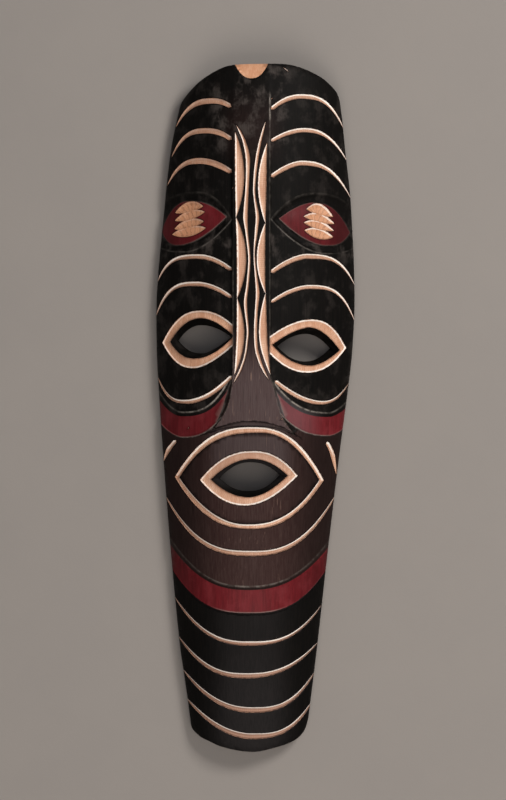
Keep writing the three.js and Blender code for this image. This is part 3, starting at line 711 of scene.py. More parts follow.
class Face:
    """The whole layout of the carving: its lines, and its depth and finish at any point."""

    def __init__(self, sizes):
        self.sizes = sizes
        self.step = sizes.step / MM
        self.rim = sizes.rim / MM
        self.side_wall = sizes.side_wall / MM
        self.rounding = sizes.edge_rounding / MM
        step = self.step
        self.outline = outline(step)
        self.cuts = cuts(step)
        self.nose = {side: smooth(NOSE[side], step) for side in NOSE}
        self.facet = {side: smooth(FACET[side], step) for side in FACET}
        self.ledge = {side: arch(PANEL_EDGE[side], step) for side in PANEL_EDGE}
        self.ledge_top = {side: beside(self.ledge[side], LEDGE / 2) for side in self.ledge}
        self.ledge_foot = {side: beside(self.ledge[side], -LEDGE / 2) for side in self.ledge}
        self.cheek_edge = {side: arch(CHEEK_EDGE[side], step) for side in CHEEK_EDGE}
        self.mouth_top = arch(MOUTH_TOP, step)
        self.chin_ledge = arch(CHIN_LEDGE, step)
        self.chin_top = beside(self.chin_ledge, CHIN_BEVEL)
        self.chin_line = arch(CHIN_LINE, step)
        self.almond = {side: [arch(curve, step) for curve in ALMONDS[side]] for side in ALMONDS}
        self.lid = {side: [arch(curve, step) for curve in LIDS[side]] for side in LIDS}
        self.rings = {}
        self.walls = {}
        for name, lenses in HOLES.items():
            ring, edge, back = loops(lenses, step)
            self.rings[name] = Ribbon(ring, edge, closed=True)
            self.walls[name] = Ribbon(edge, back, bare=False, closed=True)
        self.regions = self.draw_regions()

    def draw_regions(self):
        """Every area of the face with a level or a finish of its own."""
        left, right = self.nose["left"], self.nose["right"]
        wing_left = left[(left[:, 1] < 29) & (left[:, 1] > -7.5)]
        wing_right = right[(right[:, 1] < 22) & (right[:, 1] > -4)]
        cheek_left, cheek_right = self.cheek_edge["left"], self.cheek_edge["right"]
        top_left, top_right = self.ledge_top["left"], self.ledge_top["right"]
        under_left = cheek_left[cheek_left[:, 0] < -40] + (0, 1)
        under_right = cheek_right[cheek_right[:, 0] > 37] + (0, 1)
        u = np.linspace(-1, 1, 30)
        notch = NOTCH["depth"] * (1 - np.abs(u) ** NOTCH["bend"])
        found = {
            "left side": np.vstack([left, [(-FAR, -18.5), (-FAR, 330)]]),
            "right side": np.vstack([right, [(FAR, -21.5), (FAR, 330)]]),
            "nose": np.vstack([left, right[::-1]]),
            "left facet": np.vstack([self.facet["left"], wing_left[::-1]]),
            "right facet": np.vstack([self.facet["right"], wing_right[::-1]]),
            "left cheek": np.vstack([top_left, wing_left, cheek_left[::-1], [(-FAR, 15), (-FAR, 48)]]),
            "right cheek": np.vstack([cheek_right, [(FAR, 8), (FAR, 43)], top_right[::-1], wing_right]),
            "lower": np.vstack([
                [(-FAR, 16)], under_left, self.mouth_top, under_right,
                [(FAR, 9), (FAR, -330), (-FAR, -330)],
            ]),
            "chin": np.vstack([[(-FAR, -66)], self.chin_top, [(FAR, -66), (FAR, -340), (-FAR, -340)]]),
            "band": np.vstack([
                [(-FAR, -70)], self.chin_ledge, [(FAR, -70), (FAR, -95)],
                self.chin_line[::-1], [(-FAR, -95)],
            ]),
            "beard": np.vstack([
                [(-FAR, -95)], self.chin_line, [(FAR, -95), (FAR, -340), (-FAR, -340)],
            ]),
            "notch": np.column_stack([NOTCH["x"] + NOTCH["width"] / 2 * u, FOREHEAD_END + 1 - notch]),
        }
        for side in ("left", "right"):
            for name, (above, under) in (("almond", self.almond[side]), ("lid", self.lid[side])):
                found[side + " " + name] = np.vstack([above, under[::-1]])
        return found

    def lines(self):
        """Every line that the mesh follows, each with whether it is a crisp edge."""
        found = []
        for cut in [*self.cuts, *self.rings.values()]:
            found += cut.lines()
        for wall in self.walls.values():
            found += [(wall.row(v), False) for v in (0.1, 0.5, 0.86)]
        for side, sign in (("left", -1), ("right", 1)):
            nose = self.nose[side]
            found += [(nose, True), (self.facet[side], True)]
            found += [(beside(nose, sign * gap), False) for gap in (NOSE_WALL, -EDGE_LINE)]
            ledge = self.ledge[side]
            found += [(self.ledge_top[side], True), (self.ledge_foot[side], True)]
            found += [(beside(ledge, gap), False) for gap in (LEDGE / 2 + EDGE_LINE, 0.6, -0.6)]
            edge = self.cheek_edge[side]
            found.append((edge, True))
            found += [(beside(edge, gap), False) for gap in (EDGE_LINE, -CHEEK_STEP)]
            for arc, outward, width in ((0, 1, UPPER_LID), (1, -1, LOWER_LID)):
                almond = self.almond[side][arc]
                lid = self.lid[side][arc]
                found += [(almond, True), (lid, True)]
                found += [
                    (beside(almond, outward * gap), False) for gap in (-EDGE_LINE, ALMOND_RIM)
                ]
                found += [
                    (beside(lid, outward * gap), False) for gap in (EDGE_LINE, -width / 2, -width)
                ]
        found += [(self.chin_top, True), (self.chin_ledge, True)]
        found += [(beside(self.chin_line, gap), False) for gap in (0.5, 1.3, 2.1)]
        found += [
            (beside(self.chin_ledge, gap), False) for gap in (CHIN_BEVEL + EDGE_LINE, CHIN_BEVEL / 2)
        ]
        found += [(self.mouth_top, False), (beside(self.mouth_top, -3), False)]
        found.append((self.regions["notch"], True))
        return found

    def worn_lines(self):
        """Edges that are rubbed pale: the line, how strongly and how far, and where along it."""
        found = [
            (self.chin_top, 0.45, 0.9, lambda x, y: 1 - 0.75 * ease(np.abs(x + 5) / 60)),
            (beside(self.chin_line, 1.3), 0.5, 0.8, lambda x, y: ease((36 - np.abs(x + 5)) / 20)),
            (self.nose["left"], 0.2, 0.8, lambda x, y: ease((150 - y) / 40)),
            (self.nose["right"], 1, 0.8, lambda x, y: 0.15 * ease((276 - y) / 12)
             + 0.5 * ease((276 - y) / 6) * ease((y - 244) / 8)),
        ]
        for side, sign in (("left", -1), ("right", 1)):
            def inner(x, y, sign=sign):
                return 0.25 + 0.75 * ease((78 - sign * x) / 40)

            found += [
                (self.ledge_top[side], 0.85, 0.8, inner), (self.cheek_edge[side], 0.7, 0.8, inner),
                (self.facet[side], 0.3, 0.9, inner), (self.almond[side][1], 0.3, 0.8, inner),
                (self.almond[side][0], 0.15, 0.8, inner), (self.lid[side][1], 0.35, 0.9, inner),
                (self.lid[side][0], 0.09, 0.9, inner),
            ]
        return found

    def depth(self, points):
        """Depth below the nose's level at each point, how far it is from the nose's edge as a share of
        the wall there, and which areas it lies in."""
        x, y = points.T
        inside = {name: within(points, loop) for name, loop in self.regions.items()}
        panel = panel_depth(y)
        depth = np.zeros(len(points))
        wall = np.ones(len(points))
        for side in ("left", "right"):
            mine = inside[side + " side"]
            away = reach(points, self.nose[side])[0]
            wall = np.where(mine & ~inside["lower"], np.minimum(wall, clamp(away / NOSE_WALL)), wall)
            depth = np.where(mine, panel, depth)
        low = inside["lower"]
        away = reach(points, self.mouth_top)[0]
        depth = np.where(low, blend(depth, lower_depth(x, y), ease(away / 3)), depth)
        for side in ("left", "right"):
            mine = inside[side + " cheek"]
            t = ease(reach(points, self.ledge_top[side])[0] / LEDGE)
            t = np.minimum(t, clamp(reach(points, self.cheek_edge[side])[0] / CHEEK_STEP))
            to_nose = reach(points, self.nose[side])[0]
            to_facet = reach(points, self.facet[side])[0]
            slope = to_nose / np.maximum(to_nose + to_facet, 1e-6)
            t = np.where(inside[side + " facet"], np.minimum(t, 0.15 + 0.85 * slope), t)
            cheek = CHEEK_DEPTH - CHEEK_RISE * clamp(-y / 25)
            depth = np.where(mine, blend(depth, cheek, t), depth)
            lid = self.lid[side]
            almond = self.almond[side]
            t = np.minimum(
                ease(reach(points, lid[0])[0] / UPPER_LID), ease(reach(points, lid[1])[0] / LOWER_LID),
            )
            channel = np.where(inside[side + " lid"], blend(panel, panel + LID_DEPTH, t), depth)
            gap = np.minimum(reach(points, almond[0])[0], reach(points, almond[1])[0])
            t = np.where(inside[side + " almond"], 1, clamp(1 - gap / ALMOND_RIM))
            crown = EYE_DEPTH - 0.7 * np.where(inside[side + " almond"], ease(gap / 9), 0)
            depth = np.where(inside[side + " lid"], blend(channel, panel + crown, t), depth)
        t = ease(reach(points, self.chin_ledge)[0] / CHIN_BEVEL)
        bevel = inside["chin"] & ~inside["band"] & ~inside["beard"]
        lower = lower_depth(x, y)
        depth = np.where(bevel, lower + BAND_DEPTH * (1 - t), depth)
        t = clamp(reach(points, self.chin_line)[0] / 0.8)
        depth = np.where(inside["band"], lower + blend(BEARD_DEPTH, BAND_DEPTH, t), depth)
        depth = np.where(inside["beard"], lower + BEARD_DEPTH, depth)
        up = clamp((y - FOREHEAD_END) / NOTCH["depth"] + 1)
        depth = np.where(inside["notch"], 0.3 + NOTCH["fall"] * up, depth)
        return depth * wall, wall, inside

    def cut_marks(self, points):
        """Depth and bareness of the cuts, how near an edge is, whether its side is painted as highlight or
        shade, how far along the cut the point lies, and the cut's tone."""
        count = len(points)
        depth = np.zeros(count)
        bare = np.zeros(count, bool)
        held = np.zeros(count, bool)
        edge_inside = np.zeros(count)
        edge_outside = np.zeros(count)
        along = np.zeros(count)
        upper = np.full(count, 0.5)
        tone = np.zeros(count)
        for cut in self.cuts:
            box = np.flatnonzero(close_to(points, cut.loop, 2))
            if not len(box):
                continue
            near = points[box]
            to_a, run, toward_a = reach(near, cut.a)
            to_b, _, toward_b = reach(near, cut.b)
            toward = np.where((to_a < to_b)[:, None], toward_a, toward_b)
            width = to_a + to_b
            across = np.clip(2 * to_a / np.maximum(width, 1e-6) - 1, -1, 1)
            inside = cut.contains(near)
            gouge = (cut.depth or self.sizes.gouge) * width
            mine = np.where(inside, gouge * (1 - across ** 2) ** ROUND, 0)
            nearest = np.minimum(to_a, to_b)
            deeper = box[inside & (mine >= depth[box])]
            pick = np.isin(box, deeper)
            depth[deeper] = mine[pick]
            bare[deeper] = cut.bare
            along[deeper] = run[pick]
            edge_inside[deeper] = clamp(1 - nearest[pick] / cut.lip_width)
            # Above 0.5 the edge is painted as a highlight, below 0.5 as shade, by which way it faces the
            # light
            upper[deeper] = (0.5 + 0.5 * (toward @ cut.lip) * lip_highlight_strength(near))[pick]
            tone[deeper] = cut.tone
            held[deeper] = True
            if cut.bare:
                edge_outside[box] = np.maximum(edge_outside[box], clamp(1 - nearest / HALO))
        return depth, bare, np.where(held, edge_inside, edge_outside), upper, along, tone

    def place(self, points):
        """The point of the carved face over each point of the plan, with its marks."""
        x, y = points.T
        depth, wall, inside = self.depth(points)
        cut, bare, edge, upper, along, tone = self.cut_marks(points)
        level = nose_level(x, y, self.side_wall)
        slope = [
            nose_level(x - dx, y - dy, self.side_wall) - nose_level(x + dx, y + dy, self.side_wall)
            for dx, dy in ((0.5, 0), (0, 0.5))
        ]
        normal = np.column_stack([*slope, np.ones(len(x))])
        normal /= np.linalg.norm(normal, axis=1)[:, None]
        depth = depth + 0.12 * np.sin(x / 5.3 + 1.7 * np.sin(y / 23)) * np.sin(y / 11.5 + x / 31)
        z = level - depth
        in_ring = np.zeros(len(x), bool)
        in_wall = np.zeros(len(x), bool)
        off_nose = ~inside["nose"]
        for name, ring in self.rings.items():
            box = np.flatnonzero(close_to(points, ring.loop, 2))
            near = points[box]
            to_a, run, _ = reach(near, ring.a)
            to_b = reach(near, ring.b)[0]
            t = to_a / np.maximum(to_a + to_b, 1e-6)
            dip = RING_GOUGE * (1 - (2 * t - 1) ** 2) ** ROUND + RING_DROP * t
            mine = ring.contains(near) & (off_nose[box] | (name == "mouth"))
            z[box] -= np.where(mine, dip * wall[box], 0)
            in_ring[box] |= mine
            along[box] = np.where(mine, run, along[box])
            # The ring's outer edge is painted as a highlight and its edge at the hole as shade
            pale = np.where(to_a < to_b, 0.6 * lip_highlight_strength(near), -0.5)
            upper[box] = np.where(mine, 0.5 + 0.5 * pale, upper[box])
            outside = np.where(bare[box], edge[box], np.maximum(edge[box], clamp(1 - to_a / HALO)))
            edge[box] = np.where(mine, clamp(1 - np.minimum(to_a, to_b) / 2), outside)
            hole = self.walls[name]
            to_edge = reach(near, hole.a)[0]
            to_back = reach(near, hole.b)[0]
            t = to_edge / np.maximum(to_edge + to_back, 1e-6)
            mine = within(near, hole.a) & (off_nose[box] | (name == "mouth"))
            floor = hollow_level(near[:, 0], near[:, 1], self.rim)
            sunk = blend(z[box] - RING_DROP * wall[box], floor, t)
            z[box] = np.where(mine, blend(level[box], sunk, wall[box]), z[box])
            in_wall[box] |= mine
            edge[box] = np.where(mine, clamp(1 - to_edge / EDGE_LINE), edge[box])
        to_side = reach(points, np.vstack([self.outline, self.outline[:1]]))[0]
        r = self.rounding
        z -= r - np.sqrt(np.maximum(0, r * r - np.maximum(0, r - to_side) ** 2))
        top = z.copy()
        carved = np.where(in_ring | in_wall, 0, cut * wall)
        place = np.column_stack([x, y, z]) - normal * carved[:, None]
        worn = np.zeros(len(x))
        for line, strength, far, where in self.worn_lines():
            worn = np.maximum(worn, strength * where(x, y) * clamp(1 - reach(points, line)[0] / far))
        shade = self.shade(x, y, inside)
        return place, {
            "top": top, "edge": np.where(inside["notch"], 0, edge), "upper": upper, "along": along,
            "tone": np.where(bare, np.where(inside["notch"], 0, tone), shade), "worn": worn,
            "brown": np.where(in_wall, 0, self.brown(x, y, inside)),
        }

    def brown(self, x, y, inside):
        """How far the stain has worn from black to brown; on the lower face this brown also paints the
        sheen of its middle.
        """
        brown = np.where(inside["nose"], ease((80 - y) / 60), 0)
        brow = ease((y - 205) / 30) * ease((32 - np.abs(x + 3)) / 20) * ease((285 - y) / 40)
        brown = np.maximum(brown, 0.2 * brow)
        # Brown in the middle of the lower face, darker towards both sides: partly the rubbed stain, partly
        # painted sheen
        brown = np.where(inside["lower"], 0.66 * (1 - 0.65 * ease((np.abs(x + 4) - 14) / 50)), brown)
        brown = np.where(inside["left facet"] | inside["right facet"] | inside["chin"], 0.25, brown)
        return np.where(inside["beard"], 0, brown)

    def shade(self, x, y, inside):
        """How dark the paint is, or how cloudy the stain, and below zero how strongly a grey painted sheen
        shows.
        """
        across = np.abs(x + 4)
        fore = ease((y - 205) / 30) * ease((48 - across) / 25)
        cloud = np.maximum(0.3 + 0.4 * np.exp(-((y - 147) / 16) ** 2), 0.7 * fore)
        # Below zero the stain is greyed by a painted sheen: on the lower nose, over the middle of the lower
        # face together with a rub of the stain, and down the middle of the beard.
        on_nose = cloud * ease((y - 130) / 60) - 0.55 * ease((80 - y) / 60)
        rubbed = -0.5 * ease((y + 78) / 20) * ease((46 - across) / 22)
        beard_sheen = -0.2 * ease((54 - across) / 40) * (1 + 0.4 * ease((-195 - y) / 60))
        # Painted sheen greying the right cheek's paint, strongest near the nose
        right_cheek_sheen = -ease((70 - x) / 40) * ease((x - 12) / 12)
        for name, value in (
            ("nose", on_nose), ("lower", rubbed), ("beard", beard_sheen),
            ("band", 0.12 + 0.36 * ease((across - 26) / 35)),
            ("left cheek", 0.3),
            ("left almond", 0.32 + 0.18 * ease((-50 - x) / 20)),
            ("right almond", 0.4 + 0.34 * ease((x - 55) / 20)),
            ("right cheek", right_cheek_sheen),
        ):
            cloud = np.where(inside[name], value, cloud)
        return cloud

    def finish(self, points):
        """Which finish shows at each point."""
        depth, bare, *_ = self.cut_marks(points)
        inside = {name: within(points, loop) for name, loop in self.regions.items()}
        kind = np.full(len(points), STAINED)
        kind[inside["left almond"] | inside["right almond"] | inside["band"]] = RED
        for side in ("left", "right"):
            past = reach(points, self.ledge_top[side])[0] > LEDGE - 0.05
            kind[inside[side + " cheek"] & ~inside[side + " facet"] & past] = RED
        kind[depth > 0] = STAINED
        kind[bare | inside["notch"]] = BARE
        off_nose = ~inside["nose"]
        for name, ring in self.rings.items():
            free = off_nose | (name == "mouth")
            kind[ring.contains(points) & free] = BARE
            kind[within(points, ring.b) & free] = STAINED
        return kind


def triangulate(borders, lines, spacing, gap):
    """Triangles inside the first border and outside the others, following every line, with points
    spaced out between the lines and none of those within the gap from a line's points."""
    points, edges, crisp = [], [], []

    def add(line, closed, sharp):
        first = len(points)
        points.extend(line)
        last = len(line) - (0 if closed else 1)
        for k in range(last):
            edges.append((first + k, first + (k + 1) % len(line)))
            crisp.append(sharp)

    for border in borders:
        add(border, True, True)
    for line, sharp in lines:
        add(line, False, sharp)
    tree = KDTree(len(points))
    for k, (x, y) in enumerate(points):
        tree.insert((x, y, 0), k)
    tree.balance()
    low, high = borders[0].min(0), borders[0].max(0)
    rows = np.arange(low[1], high[1], spacing * 0.866)
    field = []
    for k, y in enumerate(rows):
        xs = np.arange(low[0] + (k % 2) * spacing / 2, high[0], spacing)
        field.append(np.column_stack([xs, np.full(len(xs), y)]))
    field = np.vstack(field)
    field = field[within(field, borders[0])]
    points.extend(p for p in field if tree.find((p[0], p[1], 0))[2] > gap)
    found = delaunay_2d_cdt([Vector(p) for p in points], edges, [], 0, 0.004)
    corners = np.array([tuple(p) for p in found[0]])
    faces = np.array(found[2])
    middle = corners[faces].mean(1)
    keep = within(middle, borders[0])
    for hole in borders[1:]:
        keep &= ~within(middle, hole)
    faces = faces[keep]
    used = np.unique(faces)
    number = np.full(len(corners), -1)
    number[used] = np.arange(len(used))
    kept_edges, sharp = [], []
    for (a, b), sources in zip(found[1], found[4]):
        if number[a] >= 0 and number[b] >= 0:
            kept_edges.append((int(number[a]), int(number[b])))
            sharp.append(any(crisp[k] for k in sources if k < len(crisp)))
    return corners[used], number[faces], kept_edges, sharp


def walk(edges):
    """Ordered loops of vertices through boundary edges."""
    ways = {}
    for edge in edges:
        a, b = edge.verts
        ways.setdefault(a, []).append(b)
        ways.setdefault(b, []).append(a)
    found = []
    seen = set()
    for start in ways:
        if start in seen:
            continue
        ring = [start]
        seen.add(start)
        while True:
            ahead = [v for v in ways[ring[-1]] if v not in seen]
            if not ahead:
                break
            ring.append(ahead[0])
            seen.add(ahead[0])
        found.append(ring)
    return found


def carve(sizes):
    """The whole mask as a mesh: the carved face, the side, the rim and the hollow back."""
    face = Face(sizes)
    holes = [wall.b[:-1] for wall in face.walls.values()]
    plan, faces, edges, sharp = triangulate(
        [face.outline, *holes], face.lines(), spacing=sizes.field / MM, gap=1.5,
    )
    place, marks = face.place(plan)
    mesh = bpy.data.meshes.new("mask_carving")
    mesh.from_pydata(place.tolist(), edges, faces.tolist())
    marks["plan_x"], marks["plan_y"] = plan.T
    for name, values in marks.items():
        layer = mesh.attributes.new(name, "FLOAT", "POINT")
        layer.data.foreach_set("value", values.astype(np.float32))
    crisp = np.zeros(len(mesh.edges), bool)
    crisp[:len(sharp)] = sharp
    mesh.attributes.new("sharp_edge", "BOOLEAN", "EDGE").data.foreach_set("value", crisp)
    mesh.polygons.foreach_set("material_index", face.finish(plan[faces].mean(1)).astype(np.int32))
    shape = bmesh.new()
    shape.from_mesh(mesh)
    bpy.data.meshes.remove(mesh)
    bmesh.ops.recalc_face_normals(shape, faces=shape.faces)
    if sum(f.normal.z for f in shape.faces) < 0:
        bmesh.ops.reverse_faces(shape, faces=shape.faces)
    add_side(shape)
    add_back(shape, face)
    bmesh.ops.delete(shape, geom=[e for e in shape.edges if not e.link_faces], context="EDGES")
    return shape


def add_side(shape):
    """The upright side, drawn down from the face's outer edge: a short step, then down to the rim."""
    layer = {name: shape.verts.layers.float[name] for name in ("plan_x", "plan_y", "top")}
    rings = walk([e for e in shape.edges if e.is_boundary])
    outer = set(max(rings, key=len))
    edges = [e for e in shape.edges if e.is_boundary and e.verts[0] in outer]
    for drop in (1.4, None):
        made = bmesh.ops.extrude_edge_only(shape, edges=edges)["geom"]
        for v in made:
            if isinstance(v, bmesh.types.BMVert):
                v.co.x = v[layer["plan_x"]]
                v.co.y = v[layer["plan_y"]]
                v.co.z = v[layer["top"]] - drop if drop else 0
        edges = [e for e in made if isinstance(e, bmesh.types.BMEdge) and e.is_boundary]
        for side in {f for e in edges for f in e.link_faces}:
            side.material_index = STAINED


def add_back(shape, face):
    """The flat rim and the hollow, closed against the side and the eye and mouth holes."""
    rings = sorted(walk([e for e in shape.edges if e.is_boundary]), key=len, reverse=True)
    borders = [np.array([(v.co.x, v.co.y) for v in ring]) for ring in rings]
    t = np.linspace(0, 1, 240)
    y = HOLLOW_BOTTOM + (HOLLOW_TOP - HOLLOW_BOTTOM) * (0.5 - 0.5 * np.cos(math.pi * t))
    width, middle, _ = hollow_shape(y, face.rim)
    right = np.column_stack([middle + width, y])
    left = np.column_stack([middle - width, y])
    hollow = resample(np.vstack([right, left[::-1][1:]]), 3)[:-1]
    closed = np.vstack([hollow, hollow[:1]])
    wall = inset(hollow, HOLLOW_WALL)
    lines = [(closed, True), (np.vstack([wall, wall[:1]]), True)]
    plan, faces, *_ = triangulate(borders, lines, spacing=4.6, gap=2.2)
    x, y = plan.T
    t = clamp(reach(plan, closed)[0] / HOLLOW_WALL)
    z = np.where(within(plan, hollow), t * hollow_level(x, y, face.rim), 0)
    corners = [shape.verts.new(p) for p in np.column_stack([x, y, z])]
    for a, b, c in faces:
        made = shape.faces.new((corners[a], corners[c], corners[b]))
        made.material_index = RAW
    doubles = [v for v in shape.verts if v.is_boundary]
    bmesh.ops.remove_doubles(shape, verts=doubles, dist=0.02)


def hex_colour(text):
    """Linear colour from an sRGB hex value."""
    channels = [int(text[i:i + 2], 16) / 255 for i in (1, 3, 5)]
    linear = [c / 12.92 if c <= 0.04045 else ((c + 0.055) / 1.055) ** 2.4 for c in channels]
    return (*linear, 1.0)


def add_node(tree, kind, inputs=None, **settings):
    """A node with its settings, and its inputs linked or set."""
    made = tree.nodes.new(kind)
    for name, value in settings.items():
        setattr(made, name, value)
    for key, value in (inputs or {}).items():
        if isinstance(value, bpy.types.NodeSocket):
            tree.links.new(value, made.inputs[key])
        else:
            made.inputs[key].default_value = value
    return made


def grain(tree, size, detail=4, roughness=0.6):
    """Noise with cells of the given real size in metres, across, along and through."""
    where = add_node(tree, "ShaderNodeTexCoord").outputs["Object"]
    scaled = add_node(tree, "ShaderNodeMapping", {"Vector": where, "Scale": tuple(1 / s for s in size)})
    return add_node(
        tree, "ShaderNodeTexNoise",
        {"Vector": scaled.outputs[0], "Scale": 1, "Detail": detail, "Roughness": roughness},
    ).outputs["Fac"]


def product(tree, *parts):
    """The product of several parts. A part is a value, or a value with the range that it is stretched
    from and, unless that is 0 to 1, the range that it is stretched to."""
    total = None
    for part in parts:
        if isinstance(part, tuple):
            value, low, high, *ends = part
            to_low, to_high = ends or (0, 1)
            part = add_node(
                tree, "ShaderNodeMapRange",
                {"Value": value, "From Min": low, "From Max": high, "To Min": to_low, "To Max": to_high},
                interpolation_type="SMOOTHSTEP",
            ).outputs["Result"]
        if total is not None:
            part = add_node(tree, "ShaderNodeMath", {0: total, 1: part}, operation="MULTIPLY").outputs[0]
        total = part
    return total


def coats(tree, ground, *layers):
    """Colours laid over a ground colour, each with its hex value and the parts whose product is how
    strongly it shows."""
    colour = hex_colour(ground)
    for shade, *parts in layers:
        colour = add_node(
            tree, "ShaderNodeMix",
            {"Factor": product(tree, *parts), "A": colour, "B": hex_colour(shade)}, data_type="RGBA",
        ).outputs["Result"]
    return colour


def start_material(name, sheen=0.5, marks=()):
    """A fresh material, its tree, the shader that the surface ends in, and the carving's marks on it."""
    material = bpy.data.materials.new(name)
    material.use_nodes = True
    tree = material.node_tree
    tree.nodes.clear()
    shader = add_node(tree, "ShaderNodeBsdfPrincipled", {"IOR": 1.45, "Specular IOR Level": sheen})
    add_node(tree, "ShaderNodeOutputMaterial", {"Surface": shader.outputs[0]})
    found = [add_node(tree, "ShaderNodeAttribute", attribute_name=mark).outputs["Fac"] for mark in marks]
    return material, tree, shader, *found


def finish_shader(tree, shader, colour, roughness, height, depth):
    """Colour, roughness and relief of a surface, the relief's depth in metres."""
    tree.links.new(colour, shader.inputs["Base Color"])
    tree.links.new(roughness, shader.inputs["Roughness"])
    bump = add_node(tree, "ShaderNodeBump", {"Height": height, "Strength": 0.6, "Distance": depth})
    tree.links.new(bump.outputs[0], shader.inputs["Normal"])


# In every wood here the real pores are 0.1 to 0.3 mm wide, too fine to show from where the mask is
# looked at, so the fibres are drawn about 1 mm wide and 20 to 40 mm long.

# Spirit stain rubbed into hardwood and waxed: near black, with satin scuffs that follow the grain,
# a browner rub over nose and mouth, and pale lines where edges have lost the stain. Where the tone is
# below zero a grey painted sheen lies over it, down the middle of nose, mouth and beard.
def stained_wood(colours):
    material, tree, shader, brown, tone, edge, worn = start_material(
        "stained_wood", 0.07, ("brown", "tone", "edge", "worn"),
    )
    fibres = grain(tree, (0.0011, 0.03, 0.0011), detail=5)
    streaks = grain(tree, (0.0012, 0.035, 0.0012), detail=2)
    blotches = grain(tree, (0.013, 0.017, 0.013), detail=6, roughness=0.62)
    nicks = grain(tree, (0.006, 0.006, 0.006))
    colour = coats(
        tree, colours.stain,
        (colours.brown, brown),
        ("#48423f", (blotches, 0.47, 0.66), (tone, 0, 1), (fibres, 0.3, 0.7, 0.6, 1)),
        ("#5a4a45", (fibres, 0.4, 0.68), (brown, 0, 1, 0.02, 0.24)),
        # Painted sheen: grey where the tone is below zero
        ("#5c5759", (tone, 0, -1, 0, 0.55), (fibres, 0.3, 0.65, 0.75, 1)),
        ("#94796a", (streaks, 0.65, 0.72), (brown, 0.3, 1, 0, 0.45)),
        ("#070505", (streaks, 0.4, 0.28), 0.3),
        ("#060404", edge, 0.9),
        (colours.worn, worn, (nicks, 0.38, 0.6, 0.25, 1)),
    )
    roughness = add_node(tree, "ShaderNodeMix", {"Factor": brown, "A": 0.56, "B": 0.44}).outputs["Result"]
    finish_shader(tree, shader, colour, roughness, fibres, 0.0003)
    return material


# Freshly cut jacaranda-like hardwood, oiled: warm tan, crossed by the gouge's chatter, a ripple about
# every 2 mm, and in the scoops by darker ticks about every 5 mm. A painted highlight runs along the lit
# lip of each cut, and painted shade along its other lip.
def bare_cut_wood(colours):
    material, tree, shader, tone, along, edge, upper = start_material(
        "bare_cut_wood", marks=("tone", "along", "edge", "upper"),
    )
    fibres = grain(tree, (0.0009, 0.02, 0.0009))
    figure = grain(tree, (0.004, 0.03, 0.004), detail=3)
    wobble = product(tree, grain(tree, (0.003, 0.003, 0.003)), 9)
    ripples = []
    for turn in (3.6, 1.35):
        run = add_node(
            tree, "ShaderNodeMath", {0: along, 1: turn, 2: wobble}, operation="MULTIPLY_ADD",
        ).outputs[0]
        ripples.append(add_node(tree, "ShaderNodeMath", {0: run}, operation="SINE").outputs[0])
    chatter, ticks = ripples
    colour = coats(
        tree, colours.bare,
        ("#d3ae95", (figure, 0.35, 0.65)),
        ("#a56c49", (fibres, 0.62, 0.4, 0, 0.4)),
        ("#c98a5f", (tone, 0, 1, 0, 0.65)),
        ("#8f6d5b", (tone, 0, -1, 0, 0.9)),
        ("#a87252", (chatter, -0.2, 1, 0, 0.3)),
        ("#6b4029", (ticks, 0.6, 0.95), (tone, 0, 1, 0, 0.5)),
        # Painted highlight along the lit lip of a cut, then painted shade along its other lip
        (colours.pale, (edge, 0.2, 0.55), (upper, 0.5, 0.9)),
        ("#4a2c1d", (edge, 0.35, 0.9, 0, 0.85), (upper, 0.5, 0.1)),
    )
    height = add_node(
        tree, "ShaderNodeMath", {0: chatter, 1: -0.25, 2: fibres}, operation="MULTIPLY_ADD",
    ).outputs[0]
    finish_shader(tree, shader, colour, product(tree, (fibres, 0.3, 0.7, 0.45, 0.62)), height, 0.0003)
    return material


# Thin casein paint over the stain: dull dark red that the grain shows through in upright streaks,
# with a grey painted sheen where the tone is below zero, on the right cheek
def red_milk_paint(colours):
    material, tree, shader, tone, edge, worn = start_material(
        "red_milk_paint", 0.15, ("tone", "edge", "worn"),
    )
    fibres = grain(tree, (0.0012, 0.03, 0.0012), detail=5)
    streaks = grain(tree, (0.003, 0.04, 0.003))
    patches = grain(tree, (0.014, 0.02, 0.014))
    colour = coats(
        tree, "#561318",
        (colours.red, (streaks, 0.35, 0.65)),
        ("#74292e", (patches, 0.45, 0.75, 0, 0.6)),
        ("#84403f", (fibres, 0.6, 0.75, 0, 0.25)),
        ("#240a0b", (tone, 0, 1, 0, 0.9)),
        # Painted sheen on the right cheek
        ("#6d474b", (tone, 0, -1, 0, 0.6)),
        ("#2a0c0e", (fibres, 0.4, 0.25, 0, 0.3)),
        ("#1d0706", edge, 0.8),
        (colours.worn, worn, 0.8),
    )
    finish_shader(tree, shader, colour, product(tree, (patches, 0.3, 0.7, 0.42, 0.58)), fibres, 0.00025)
    return material


# Unfinished hardwood at the back: dry, sawn flat on the rim and gouged in flutes inside
def raw_back_wood(colours):
    material, tree, shader = start_material("raw_back_wood")
    fibres = grain(tree, (0.0012, 0.04, 0.0012), detail=5)
    figure = grain(tree, (0.009, 0.08, 0.009))
    colour = coats(
        tree, "#6d4a33",
        (colours.raw, (figure, 0.35, 0.65)),
        ("#a9825f", (fibres, 0.55, 0.72, 0, 0.45)),
        ("#3d2719", (fibres, 0.42, 0.25, 0, 0.6)),
    )
    finish_shader(tree, shader, colour, product(tree, (fibres, 0.3, 0.7, 0.7, 0.85)), fibres, 0.0004)
    return material


# Honed pale stone top: flat, almost without sheen, with a faint cloudiness 90 mm across and a grit
# drawn 1.6 mm wide, far coarser than it is, so that it shows
def pale_table_top(colours):
    material, tree, shader = start_material("pale_table_top")
    clouds = grain(tree, (0.09, 0.09, 0.09), detail=5)
    grit = grain(tree, (0.0016, 0.0016, 0.0016), detail=2)
    colour = coats(tree, colours.floor, ("#a8a29b", (clouds, 0.3, 0.7, 0, 0.08)))
    finish_shader(tree, shader, colour, product(tree, (clouds, 0.3, 0.7, 0.7, 0.8)), grit, 0.0001)
    return material


